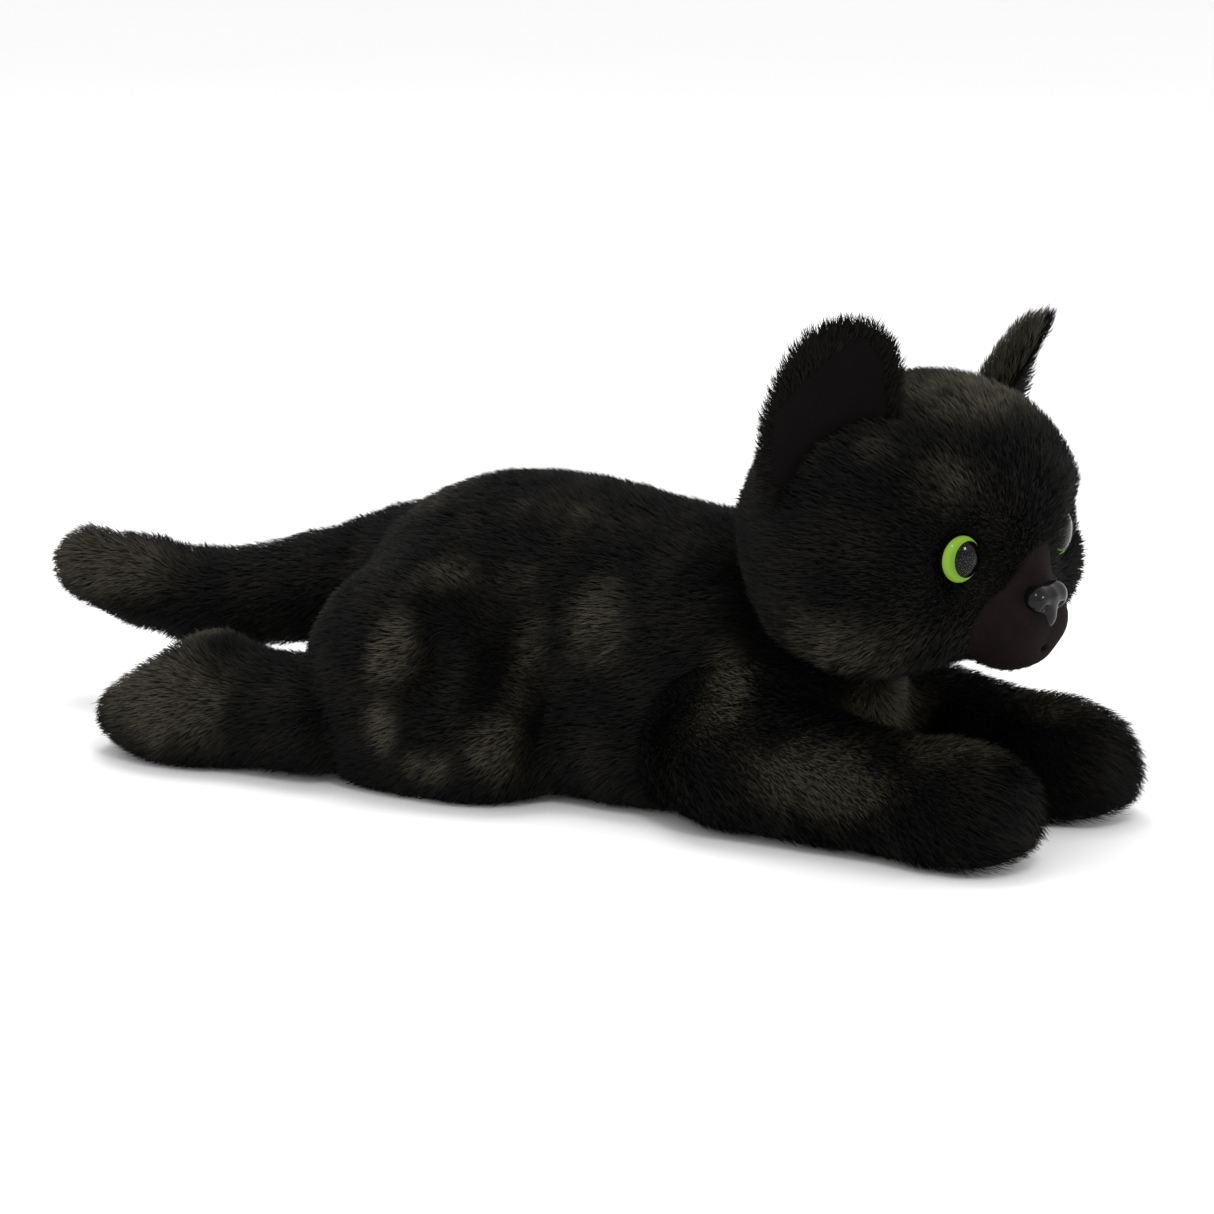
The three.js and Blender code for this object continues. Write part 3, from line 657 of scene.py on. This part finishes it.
# %% Even scattering
def scattered(piece, per_mm2):
    """Random places on a mesh with the surface's normal at each."""
    mesh = piece.data
    mesh.calc_loop_triangles()
    count = len(mesh.loop_triangles)
    corner = np.empty(count * 3, np.int32)
    mesh.loop_triangles.foreach_get("vertices", corner)
    corner = corner.reshape(-1, 3)
    places = vectors_of(mesh.vertices, "co")
    normals = vectors_of(mesh.vertex_normals, "vector")
    a, b, c = (places[corner[:, i]] for i in range(3))
    areas = np.linalg.norm(np.cross(b - a, c - a), axis=1) / 2
    total = int(areas.sum() / mm ** 2 * per_mm2)
    chosen = chance.choice(count, total, p=areas / areas.sum())
    r1, r2 = np.sqrt(chance.random(total)), chance.random(total)
    weights = np.stack([1 - r1, r1 * (1 - r2), r1 * r2], axis=1)
    spots = sum(weights[:, i:i + 1] * places[corner[chosen, i]] for i in range(3))
    facing = unit(sum(weights[:, i:i + 1] * normals[corner[chosen, i]] for i in range(3)))
    return spots, facing

# %% Smooth waves
def waves(points, scale, seed):
    """A smooth random value from -1 to 1 over space, as a sum of a few sine waves."""
    source = np.random.default_rng(seed)
    total = np.zeros(len(points))
    for _ in range(6):
        direction = source.normal(size=3)
        direction *= (0.6 + 0.8 * source.random()) / (scale * np.linalg.norm(direction))
        total += np.sin(points @ direction * 2 * np.pi + source.random() * 2 * np.pi)
    return total / 3

# %% Ribbons
stray_nap, stray_lean, stray_length, ribbon_roll = 0.16, 0.13, 0.16, 0.55
ribbon_stations = [0, 0, 0.55, 0.55, 1]


def pile_mesh(name, roots, facing, nap, length, width, lean, tone):
    """Ribbons of three triangles each, from upright at the root to lying over at the tip."""
    total = len(roots)
    nap = unit(nap - facing * np.sum(nap * facing, axis=1, keepdims=True))
    side = np.cross(facing, nap)
    stray = chance.normal(0, stray_nap, total)[:, None]
    nap = unit(nap + side * stray)
    cell = np.floor(roots / lock)
    key = (cell * [73.1, 179.7, 283.3]).sum(axis=1)
    toss = np.stack([np.sin(key * 12.9898 + k * 4.1) for k in range(3)], axis=1)
    middle = (cell + 0.5 + 0.28 * toss) * lock
    pull = middle - roots
    pull -= facing * np.sum(pull * facing, axis=1, keepdims=True)
    angle = np.radians(lean) + chance.normal(0, stray_lean, total)
    length = length * np.clip(1 + chance.normal(0, stray_length, total), 0.5, 1.5)
    rise = (length * np.cos(angle))[:, None]
    run = (length * np.sin(angle))[:, None]
    half_way = roots + facing * rise * 0.62 + nap * run * 0.42 + pull * 0.08
    tip = roots + facing * rise + nap * run + pull * 0.24
    roll = chance.normal(0, ribbon_roll, total)[:, None]
    flat = unit(np.cross(facing, nap) * np.cos(roll) + facing * np.sin(roll))
    half = width / 2 * flat
    slim = half * 0.8
    verts = np.stack([roots - half, roots + half, half_way - slim, half_way + slim, tip], axis=1)
    verts[..., 2] = np.maximum(verts[..., 2], lowest_strand)
    first = np.arange(total)[:, None] * 5
    pattern = np.array([0, 1, 3, 0, 3, 2, 2, 3, 4])
    indices = (first + pattern).astype(np.int32)
    mesh = bpy.data.meshes.new(name)
    mesh.vertices.add(total * 5)
    mesh.vertices.foreach_set("co", verts.astype(np.float32).ravel())
    mesh.loops.add(total * 9)
    mesh.loops.foreach_set("vertex_index", indices.ravel())
    mesh.polygons.add(total * 3)
    mesh.polygons.foreach_set("loop_start", np.arange(0, total * 9, 3, dtype=np.int32))
    mesh.update(calc_edges=True)
    piece = placed(name, mesh)
    carry(piece, "along", np.tile(ribbon_stations, total))
    carry(piece, "tone", np.repeat(tone, 5))
    print(name, total, "strands")
    return piece

# %% [markdown]
# ## Where the nap shines: painted sheen
# Black plush shows olive and brown lights where its nap is brushed against the light: on the
# thigh round the tacked hollow, on the flank, the forelegs, the crown and the cheeks. That
# sheen is painted into the pile's colour here. Each patch is a soft ball of painted sheen
# placed on the toy, broken up by smooth waves.

# %% Painted sheen patches
# Each painted sheen patch: its centre and its radii in millimetres, then its strength. A centre
# with x over zero serves both sides of the toy.
painted_sheen_spots = [
    ((74, 12, 52), (14, 8, 15), 1.0),
    ((74, 12, 27), (14, 7, 11), 0.9),
    ((66, -3, 15), (18, 13, 7), 0.9),
    ((66, -24, 22), (16, 8, 12), 0.85),
    ((60, -28, 54), (16, 7, 22), 1.0),
    ((60, 2, 75), (18, 13, 8), 0.95),
    ((56, -20, 74), (18, 11, 10), 0.9),
    ((50, -50, 64), (18, 14, 18), 0.8),
    ((48, -98, 48), (14, 8, 24), 0.95),
    ((56, -138, 26), (14, 26, 13), 0.95),
    ((34, -172, 38), (20, 20, 8), 0.8),
    ((86, 100, 26), (18, 28, 18), 1.0),
    ((62, 112, 42), (20, 22, 8), 0.8),
    ((6, -160, 138), (24, 20, 14), 0.85),
    ((30, -168, 118), (14, 14, 12), 0.6),
    ((46, -146, 72), (18, 24, 14), 0.85),
    ((40, -150, 126), (9, 9, 8), 0.45),
    ((10, -130, 38), (20, 10, 12), 1.0),
    ((-30, 172, 55), (16, 32, 13), 1.1),
    ((20, 40, 92), (30, 26, 10), 0.5),
    ((30, -30, 94), (24, 36, 10), 0.45),
]


def painted_sheen(points):
    """How much painted sheen each place gets, from 0 to 1."""
    total = np.zeros(len(points))
    side = both_sides(points)
    for centre, radii, strength in painted_sheen_spots:
        where = points if centre[0] < 0 else side
        scaled = (where / mm - np.array(centre)) / np.array(radii)
        total = np.maximum(total, strength * np.exp(-1.2 * np.sum(scaled ** 2, axis=1)))
    broken = 1 + 0.22 * waves(points, 13 * mm, 5) + 0.16 * waves(points, 5 * mm, 6)
    edge = np.clip((total * broken - 0.08) / 0.80, 0, 1)
    return np.clip(edge * edge * (3 - 2 * edge) + 0.035 + 0.07 * waves(points, 20 * mm, 7), 0, 1)


print(len(painted_sheen_spots), "sheen patches")

# %% [markdown]
# ## Nap and bare places
# Plush is cut so that its nap runs away from the nose and towards the tail and the paws, as
# it does on a real cat. Each skin has a function for that direction. No pile grows where
# velboa or an eye covers the skin, and a distance for each of them says where that is.

# %% Nap directions
def nap_back(points):
    """On the torso, hind legs and tail the nap runs back and a little down."""
    down = -0.35 * np.ones(len(points))
    swirl = 0.5 * waves(points, 60 * mm, 3)
    return np.stack([swirl, np.ones(len(points)), down], axis=1)


def nap_forward(points):
    return np.tile([0, -1, -0.35], (len(points), 1))


def nap_from_nose(points):
    start = from_head([0, nose_front - 4 * mm, 84 * mm])
    return points - start


naps = {
    "torso": nap_back,
    "head": nap_from_nose,
    "front_leg_right": nap_forward,
    "front_leg_left": nap_forward,
    "hind_leg_right": nap_back,
    "hind_leg_left": nap_back,
    "tail": nap_back,
}
print("nap set on", ", ".join(naps))

# %% Bare places
sole_middle = np.array([hip_pivot[0] - 2 * mm, foot_reach - 22 * mm, 30 * mm])
sole_radii = (16 * mm, 20 * mm, 14 * mm)
eye_clearance = 8.6 * mm


def near_muzzle(points):
    """Less than zero where the muzzle's short velboa shows and no pile grows."""
    straight = to_head(points)
    side = both_sides(straight)
    front = nose_front + 9 * mm
    pads = egg(side, (7 * mm, front + 1 * mm, 71.5 * mm), (17 * mm, 15 * mm, 14 * mm))
    bridge = tapered(straight, (0, front + 6 * mm, 102 * mm), (0, front, 82 * mm), 5 * mm, 11 * mm)
    return melt(pads, bridge, 5 * mm)


def near_soles(points):
    """Less than zero on the velboa soles: under the front paws, and behind the hind feet."""
    paw_middle = (34 * mm, wrist_reach + 14 * mm, 0)
    paw = egg(both_sides(points), paw_middle, (15 * mm, 17 * mm, 5 * mm))
    right = egg(points, sole_middle, sole_radii)
    left = egg(splayed(points), sole_middle, sole_radii)
    return np.minimum(paw, np.minimum(right, left))


def near_eyes(points):
    """Less than zero under the eyes."""
    right, left = (np.linalg.norm(points - place, axis=1) for place in (right_eye, left_eye))
    return np.minimum(right, left) - eye_clearance


print("eyes keep", round(eye_clearance / mm, 1), "mm bare")

# %% [markdown]
# ## Growing the pile
# Roots are scattered evenly over a skin. Those that lie inside a neighbour, under velboa or
# under an eye are dropped, and the rest get a tone with painted sheen, a length and a lean. The
# pile is shorter round the eyes and the muzzle, and longer on the front of the paws. The torso's
# pile is made as two pieces, a right and a left one, which keeps each piece light.

# %% Grow the pile
strand_width = 0.34 * mm
strands_per_mm2 = 2.1
pile_length = {"torso": 4.2, "head": 4.0, "tail": 4.6}
leg_pile_length = 4.3
pile_lean = 54
lean_swing = 7
tone_spread, tone_noise = 0.30, 0.03
deepest_root = -0.2 * mm
deepest_under_head = -4 * mm
piles = {}


def grow(name, skin, side=0):
    """The pile of one skin, or of one side of it, away from what covers the skin."""
    roots, facing = scattered(skin, strands_per_mm2)
    keep = np.ones(len(roots), bool) if side == 0 else roots[:, 0] * side >= 0
    for other, field in fields.items():
        if other != name:
            keep &= field(roots) > (deepest_under_head if other == "head" else deepest_root)
    if name == "head":
        keep &= (near_muzzle(roots) > -1.2 * mm) & (near_eyes(roots) > 0)
    if "leg" in name:
        keep &= near_soles(roots) > 0
    roots, facing = roots[keep], facing[keep]
    # Painted sheen: each strand's tone is the painted sheen of its place, spread a little at random.
    tone = painted_sheen(roots)
    tone = tone * (1 + chance.normal(0, tone_spread, len(roots)))
    tone = tone + chance.normal(0, tone_noise, len(roots))
    length = pile_length.get(name, leg_pile_length) * mm * (1 + 0.10 * waves(roots, 25 * mm, 9))
    if name == "head":
        length = length * np.clip(0.45 + near_eyes(roots) / (14 * mm), 0.45, 1)
        length = length * np.clip(0.5 + near_muzzle(roots) / (16 * mm), 0.5, 1)
    if "front_leg" in name:
        toes = np.clip((wrist_reach + 20 * mm - roots[:, 1]) / (16 * mm), 0, 1)
        length = length * (1 + 0.6 * toes)
    lean = pile_lean + lean_swing * waves(roots, 18 * mm, 11)
    label = name + {0: "", -1: "_right", 1: "_left"}[side] + "_pile"
    nap = naps[name](roots)
    return pile_mesh(label, roots, facing, nap, length, strand_width, lean, np.clip(tone, 0, 1))


for name, skin in skins.items():
    sides = (-1, 1) if name == "torso" else (0,)
    for side in sides:
        piles[name, side] = grow(name, skin, side)

# %% [markdown]
# ## Ear pile
# Only the back of an ear is plush, but its pile stands over the seam all round and hides the
# edge of the lining. So strands grow from the back leaf, and more grow from a band along the
# rim, where they point outwards. At the foot of the ear they point up, over the seam.

# %% Ear pile
rim_strands = 9000
rim_band = 0.2
rim_length, rim_lean, rim_sheen_tone = 5.0 * mm, 52.0, 0.1
back_length, back_lean = 4.6 * mm, 55.0
for side in ("right", "left"):
    body = "ear_" + side
    roots, facing = scattered(ears["ear_back", side], strands_per_mm2 * 1.1)
    low, tip, front = (
        ear_points(np.zeros(1), np.array([up]), depth, side)[0]
        for up, depth in ((0, 0), (1, 0), (0, 1))
    )
    upward, forward = unit(tip - low), unit(front - low)
    keep = (head_field(roots) > -2 * mm) & (facing @ forward < 0.1)
    roots, facing = roots[keep], facing[keep]
    across = 2 * chance.random(rim_strands) - 1
    up = chance.random(rim_strands)
    on_top = up > 1 - rim_band * 0.8
    on_side = np.abs(across) > 1 - rim_band
    at_foot = up < 0.34 - 0.16 * across ** 2
    chosen = on_top | on_side | at_foot
    across, up, at_foot = across[chosen], up[chosen], (at_foot & ~on_side)[chosen]
    rim_roots = ear_points(across, up, 1.6 * mm, side)
    centre = ear_points(0.2 * across, np.clip(up - 0.35, 0, 0.5), 0.0, side)
    away = unit(rim_roots - centre)
    away[at_foot] = upward
    visible = head_field(rim_roots) > -1 * mm
    rim_roots, away = rim_roots[visible], away[visible]
    # Painted sheen: the back of an ear is lighter in waves, the left ear's back much lighter, and the
    # rim strands a little.
    tone = np.clip(0.22 + 0.3 * waves(roots, 12 * mm, 13), 0, 1)
    if side == "left":
        tone = np.clip(tone + 0.45, 0, 1)
    counts = (len(roots), len(rim_roots))
    piles[body, 0] = pile_mesh(
        body + "_pile",
        np.concatenate([roots, rim_roots]),
        np.concatenate([facing, unit(forward + 0.35 * away)]),
        np.concatenate([np.tile(upward, (len(roots), 1)), away]),
        np.repeat([back_length, rim_length], counts),
        strand_width,
        np.repeat([back_lean, rim_lean], counts),
        np.concatenate([tone, np.full(len(rim_roots), rim_sheen_tone)]),
    )
print(sum(len(p.data.polygons) for p in piles.values()), "pile faces")

# %% [markdown]
# ## Muzzle and soles
# The muzzle pads and the bridge of the nose are short velboa, a low brown-black cloth. They
# are a thin layer over the head's form, cut to the same outline that the pile stops at. The
# soles are the same cloth.

# %% Velboa pieces
cloth = 0.8 * mm
muzzle_box = ((-34 * mm, -212 * mm, 48 * mm), (34 * mm, -160 * mm, 112 * mm))
muzzle_cell, sole_cell = 1.1 * mm, 1.3 * mm


def layer(skin, outline, depth):
    """Cloth over a skin, inside an outline, that carries on below the skin to a depth."""
    return np.maximum(skin - cloth, np.maximum(outline, -skin - depth))


def muzzle_layer(points):
    return layer(head_field(points), near_muzzle(points) - 1 * mm, 3 * mm)


muzzle = skin_of("muzzle_velboa", muzzle_layer, *muzzle_box, muzzle_cell)
soles = {}
for name in [key for key in skins if "leg" in key]:
    def sole_layer(points, name=name):
        return layer(fields[name](points), near_soles(points) - 0.8 * mm, 2 * mm)

    soles[name] = skin_of(name + "_sole_velboa", sole_layer, *boxes[name], sole_cell)

# %% [markdown]
# ## Eyes and nose
# Each eye is a clear dome over a painted disc: a wide black pupil, a yellow-green ring and a
# black edge. A real dome bends the light, so its ring shows mostly on one side. Here the disc
# is domed too and sits close under a thin clear lens, and its pupil is painted off centre,
# towards the nose. Both are turned forms: stations of radius and height along an axis.

# %% Turned shapes
def turned_mesh(name, profile, place, axis, around=48):
    """A round closed form from (radius, height) stations along an axis."""
    axis = Vector(axis).normalized()
    turn = axis.to_track_quat("Z", "Y").to_matrix()
    corners, faces = [], []
    for radius, height in profile:
        for k in range(around):
            angle = 2 * math.pi * k / around
            local = Vector((radius * math.cos(angle), radius * math.sin(angle), height))
            corners.append(Vector(place) + turn @ local)
    rings = len(profile)
    for j in range(rings - 1):
        for k in range(around):
            a, b = j * around + k, j * around + (k + 1) % around
            faces.append((a, b, b + around, a + around))
    faces.append(tuple(range(around - 1, -1, -1)))
    faces.append(tuple((rings - 1) * around + k for k in range(around)))
    piece = smooth_piece(name, corners, faces)
    carry(piece, "spread", np.repeat([radius / profile[0][0] for radius, _ in profile], around))
    print(name, len(faces), "faces")
    return piece

# %% Eyes
lens_thickness = 0.35 * mm
iris_height = 4.2 * mm
pupil_shift = 1.5 * mm
dome_stations, iris_stations = 16, 48
ball = (dome_radius ** 2 + dome_height ** 2) / (2 * dome_height)
eye_parts = {}
for side, place in (("right", right_eye), ("left", left_eye)):
    sign = -1 if side == "right" else 1
    looks = from_head(head_pivot + eye_looks * np.array([sign, 1, 1])) - head_pivot
    rim_place = place - looks * (dome_height / 2 - eye_proud)
    heights = dome_height * np.sin(np.linspace(0, math.pi / 2, dome_stations)[:-1])
    dome_profile = [(dome_radius * 0.96, -0.9 * mm), (dome_radius, -0.5 * mm)]
    dome_profile += [
        (math.sqrt(ball ** 2 - (h + ball - dome_height) ** 2), h) for h in heights
    ] + [(0.25 * mm, dome_height)]
    dome = turned_mesh(f"eye_dome_{side}", dome_profile, rim_place, looks)
    rings = np.linspace(1, 0.02, iris_stations)
    inner = dome_radius - lens_thickness
    iris_profile = [(inner * 0.98, -0.75 * mm), (inner, -0.4 * mm)]
    iris_profile += [(inner * r, iris_height * math.sqrt(1 - r ** 2.2)) for r in rings]
    iris = turned_mesh(f"eye_disc_{side}", iris_profile, rim_place, looks)
    nose_side = from_head(head_pivot + np.array([-sign, 0, 0])) - head_pivot
    nose_side = unit(nose_side - looks * (nose_side @ looks))
    pupil_centre = rim_place + nose_side * pupil_shift
    offsets = vectors_of(iris.data.vertices, "co") - pupil_centre
    offsets -= looks * (offsets @ looks)[:, None]
    carry(iris, "from_pupil", np.linalg.norm(offsets, axis=1) / inner)
    eye_parts[side] = (dome, iris)

# %% [markdown]
# ## Nose
# The nose is one glossy moulding: two lobes, a stem below them, two nostrils and a groove. A
# field suits it, as its parts flow into each other. Its grid is finer than the skins', because
# the whole nose is about two centimetres wide.

# %% Nose
nose_scale = 1.14
nose_cell = 0.35 * mm
nose_room = 11 * mm
nose_place = nose_in_head + np.array([0, -5.0 * mm, -0.6 * mm])


def nose_field(points):
    straight = (to_head(points) - nose_place) / nose_scale
    side = both_sides(straight)
    lobe = egg(side, (4.1 * mm, 0.3 * mm, 1.9 * mm), (4.3 * mm, 3.6 * mm, 4.0 * mm))
    middle = egg(straight, (0, 0, 2.2 * mm), (4.6 * mm, 3.6 * mm, 3.4 * mm))
    stem = egg(straight, (0, 0.3 * mm, -2.6 * mm), (3.2 * mm, 3.4 * mm, 4.4 * mm))
    form = melt(melt(lobe, middle, 1.2 * mm), stem, 2.0 * mm)
    nostril = egg(side, (3.7 * mm, -3.3 * mm, -0.4 * mm), (1.5 * mm, 1.9 * mm, 1.0 * mm))
    groove = tapered(straight, (0, -4.1 * mm, 1.5 * mm), (0, -3.9 * mm, -5 * mm), 0.35 * mm, 0.5 * mm)
    return carve(carve(form, nostril, 0.9 * mm), groove, 0.7 * mm)


nose_world = from_head(nose_place)
nose_box = (nose_world - nose_room, nose_world + nose_room)
nose = skin_of("nose_moulding", nose_field, *nose_box, nose_cell)

# %% [markdown]
# ## Finishes
# Black pile takes its colour from each strand's tone, which carries painted sheen: near black
# where it swallows the light, olive grey where the sheen of the nap is painted in. Each strand
# is darker at its root. The skin under it takes the same painted sheen, so that no gap between
# strands looks pale.

# %% Tone helpers
def fact(tree, name):
    """A value that the mesh carries for each point."""
    return node(tree, "ShaderNodeAttribute", {"attribute_name": name})[2]  # its third output


def share_of(wire, low, high):
    """How far a value lies between two others, from 0 to 1."""
    settings = {"interpolation_type": "SMOOTHSTEP"}
    return node(wire.tree, "ShaderNodeMapRange", settings, wire, low, high, 0.0, 1.0)[0]


print("finishes can read along, tone, spread and from_pupil")

# %% Pile and backing
pile_finish, tree, shader = new_material("black_plush_pile", Roughness=0.62)
shader.inputs["Specular IOR Level"].default_value = 0.1
along = fact(tree, "along")
tone = fact(tree, "tone")
dark = mix_colours(tree, along, (0.0006, 0.0006, 0.0006), (0.0022, 0.0021, 0.0020))
# The light colour is painted sheen, lighter towards each strand's tip.
light = mix_colours(tree, along, (0.006, 0.0056, 0.0040), (0.078, 0.071, 0.050))
feed(tree, shader, "Base Color", mix_colours(tree, tone, dark, light))

backing_finish, tree, shader = new_material("plush_backing", Roughness=0.9)
shader.inputs["Specular IOR Level"].default_value = 0.05
grain = place_noise(tree, 700)
deep = mix_colours(tree, grain, (0.0010, 0.0009, 0.0009), (0.0026, 0.0025, 0.0022))
# Painted sheen: the backing is lighter where its tone carries painted sheen.
sheen_backing_colour = mix_colours(tree, grain, (0.010, 0.0095, 0.007), (0.020, 0.019, 0.013))
feed(tree, shader, "Base Color", mix_colours(tree, fact(tree, "tone"), deep, sheen_backing_colour))
print(pile_finish.name, backing_finish.name)

# %% [markdown]
# ## Velboa
# Velboa has a pile so short that strands would not show. A fine noise gives its grain and a
# little bump, and a broader one the patches where it is brushed. On the muzzle and the soles
# it is brown black, and inside the ears nearly black.

# %% Velboa
grain_height, grain_strength = 0.3 * mm, 0.5
velboa_finish, tree, shader = new_material("brown_black_velboa", Roughness=0.85)
shader.inputs["Specular IOR Level"].default_value = 0.08
nap = share_of(place_noise(tree, 160, 5.0), 0.32, 0.68)
fleck = place_noise(tree, 1900, 3.0)
cloth_colour = mix_colours(tree, nap, (0.0008, 0.0004, 0.0004), (0.0046, 0.0022, 0.0021))
feed(tree, shader, "Base Color", mix_colours(tree, fleck, cloth_colour, (0.0070, 0.0036, 0.0034)))
bump(tree, shader, fleck, grain_height, grain_strength)

lining_finish, tree, shader = new_material("ear_lining_velboa", Roughness=0.85)
shader.inputs["Specular IOR Level"].default_value = 0.08
fleck = place_noise(tree, 1700, 3.0)
patch = place_noise(tree, 90, 3.0)
cloth_colour = mix_colours(tree, patch, (0.0010, 0.0006, 0.0006), (0.0042, 0.0027, 0.0025))
feed(tree, shader, "Base Color", mix_colours(tree, fleck, (0.0009, 0.0007, 0.0007), cloth_colour))
bump(tree, shader, fleck, grain_height, grain_strength)
print(velboa_finish.name, lining_finish.name)

# %% [markdown]
# ## Eyes, nose and washers
# The disc is painted by how far each point is from the pupil's middle and from its own. It
# glows a little, a painted light that keeps the ring bright under the lens. The lens is almost
# transparent and only adds a gloss. The nose is black plastic, and the hidden washers are pale.

# %% Eyes and nose finishes
# Each edge below is where a painted colour starts and ends, as a share of the disc's radius.
pupil_edge, rim_edge, green_fade = (0.74, 0.77), (0.965, 0.985), (0.60, 0.97)
lens_finish, tree, shader = new_material("clear_lens", Roughness=0.02, Alpha=0.06)
shader.inputs["Transmission Weight"].default_value = 1.0
haze = place_noise(tree, 200)
feed(tree, shader, "Roughness", haze * 0.02 + 0.008)

iris_finish, tree, shader = new_material("painted_iris", Roughness=0.06)
# Painted light: the disc glows a little, which keeps the ring bright under the lens.
shader.inputs["Emission Strength"].default_value = 0.2
shader.inputs["Specular IOR Level"].default_value = 0.14
spread = fact(tree, "spread")
fibres = place_noise(tree, 1500, 2.0)
ring = share_of(fact(tree, "from_pupil"), *pupil_edge)
edge = share_of(spread, *rim_edge)
green = mix_colours(tree, share_of(spread, *green_fade), (0.10, 0.21, 0.016), (0.21, 0.37, 0.032))
green = mix_colours(tree, fibres * 0.35, green, (0.10, 0.22, 0.01))
painted = mix_colours(tree, ring, (0.001, 0.001, 0.001), green)
painted = mix_colours(tree, edge, painted, (0.003, 0.003, 0.003))
feed(tree, shader, "Base Color", painted)
feed(tree, shader, "Emission Color", painted)

nose_finish, tree, shader = new_material("nose_plastic", Roughness=0.16)
shader.inputs["Specular IOR Level"].default_value = 0.2
gloss = place_noise(tree, 900, 3.0)
feed(tree, shader, "Base Color", mix_colours(tree, gloss, (0.002, 0.002, 0.002), (0.005, 0.005, 0.005)))
feed(tree, shader, "Roughness", gloss * 0.12 + 0.12)

washer_finish, tree, shader = new_material("washer_plastic", Roughness=0.5)
marks = place_noise(tree, 300)
feed(tree, shader, "Base Color", mix_colours(tree, marks, (0.55, 0.54, 0.50), (0.66, 0.65, 0.61)))
print(lens_finish.name, iris_finish.name, nose_finish.name, washer_finish.name)

# %% [markdown]
# ## Hand the pieces to their bodies
# A head or ear piece rides on its body. A leg's or the tail's skin and pile are left where
# they are made, on no body.

# %% Follow the bodies
bend_from = {"front_leg": -88 * mm, "hind_leg": 42 * mm, "tail": 52 * mm}


def follow(piece, body):
    """Leaves a limb's piece where it is made, and makes any other piece ride its body."""
    for kind in bend_from:
        if body.startswith(kind):
            pivot = joints["tail_swing" if kind == "tail" else body + "_splay"]["pos_m"]
            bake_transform(piece)
            return
    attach(piece, body)

# %% Hand over the pieces
for name, skin in skins.items():
    # Painted sheen: each skin carries the same painted sheen as its pile.
    carry(skin, "tone", painted_sheen(vectors_of(skin.data.vertices, "co")))
    skin.data.materials.append(backing_finish)
    follow(skin, name)
for (name, _), pile in piles.items():
    pile.data.materials.append(pile_finish)
    follow(pile, name)
for name, sole in soles.items():
    sole.data.materials.append(velboa_finish)
    follow(sole, name)
muzzle.data.materials.append(velboa_finish)
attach(muzzle, "head")
for (leaf, side), piece in ears.items():
    piece.data.materials.append(lining_finish if leaf == "ear_lining" else backing_finish)
    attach(piece, "ear_" + side)
for side, (dome, iris) in eye_parts.items():
    dome.data.materials.append(lens_finish)
    iris.data.materials.append(iris_finish)
    for piece, slot in ((dome, "clear_lens"), (iris, "painted_iris")):
        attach(piece, "head")
nose.data.materials.append(nose_finish)
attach(nose, "head")
print(len(skins) + len(piles) + len(soles) + len(ears) + 2 * len(eye_parts) + 2, "pieces follow bodies")

# %% [markdown]
# ## Stand in for the plain nodes
# Each skin stands for the panels, filling and pellet bag that it is made of, and every other
# piece for its own node. The pile pieces stand for no node: they are the surface of a panel
# that its skin already stands for. The washers stay as they are packed and only get a finish.

# %% Replace the plain nodes
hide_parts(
    "torso_panel_right", "torso_panel_left", "belly_panel", "torso_stuffing", "torso_pellet_bag",
)
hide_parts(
    "head_side_right", "head_side_left", "crown_gusset", "chin_panel", "head_stuffing",
)
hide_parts("muzzle_pad_right", "muzzle_pad_left", "muzzle_bridge")
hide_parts("tail_right", "tail_left", "tail_stuffing")
leg_parts = ("outer", "inner", "stuffing", "pellet_bag")
for name in soles:
    limb, side = name.rsplit("_", 1)
    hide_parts(*(f"{limb}_{part}_{side}" for part in leg_parts))
    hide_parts(f"{limb}_sole_{side}")
for (leaf, side), piece in ears.items():
    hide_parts(f"{leaf}_{side}")
for side, (dome, iris) in eye_parts.items():
    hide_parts(f"eye_lens_{side}")
    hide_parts(f"eye_iris_{side}")
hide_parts("nose_cap")
for washer in ("eye_washer_right", "eye_washer_left", "nose_washer"):
    carried = bpy.data.objects[washer]
    carried.data.materials.clear()
    carried.data.materials.append(washer_finish)
print("washers carried as they are")

# %% [markdown]
# ## Finish
# The last cell brings the scene up to date.

# %% Finish
bpy.context.view_layer.update()
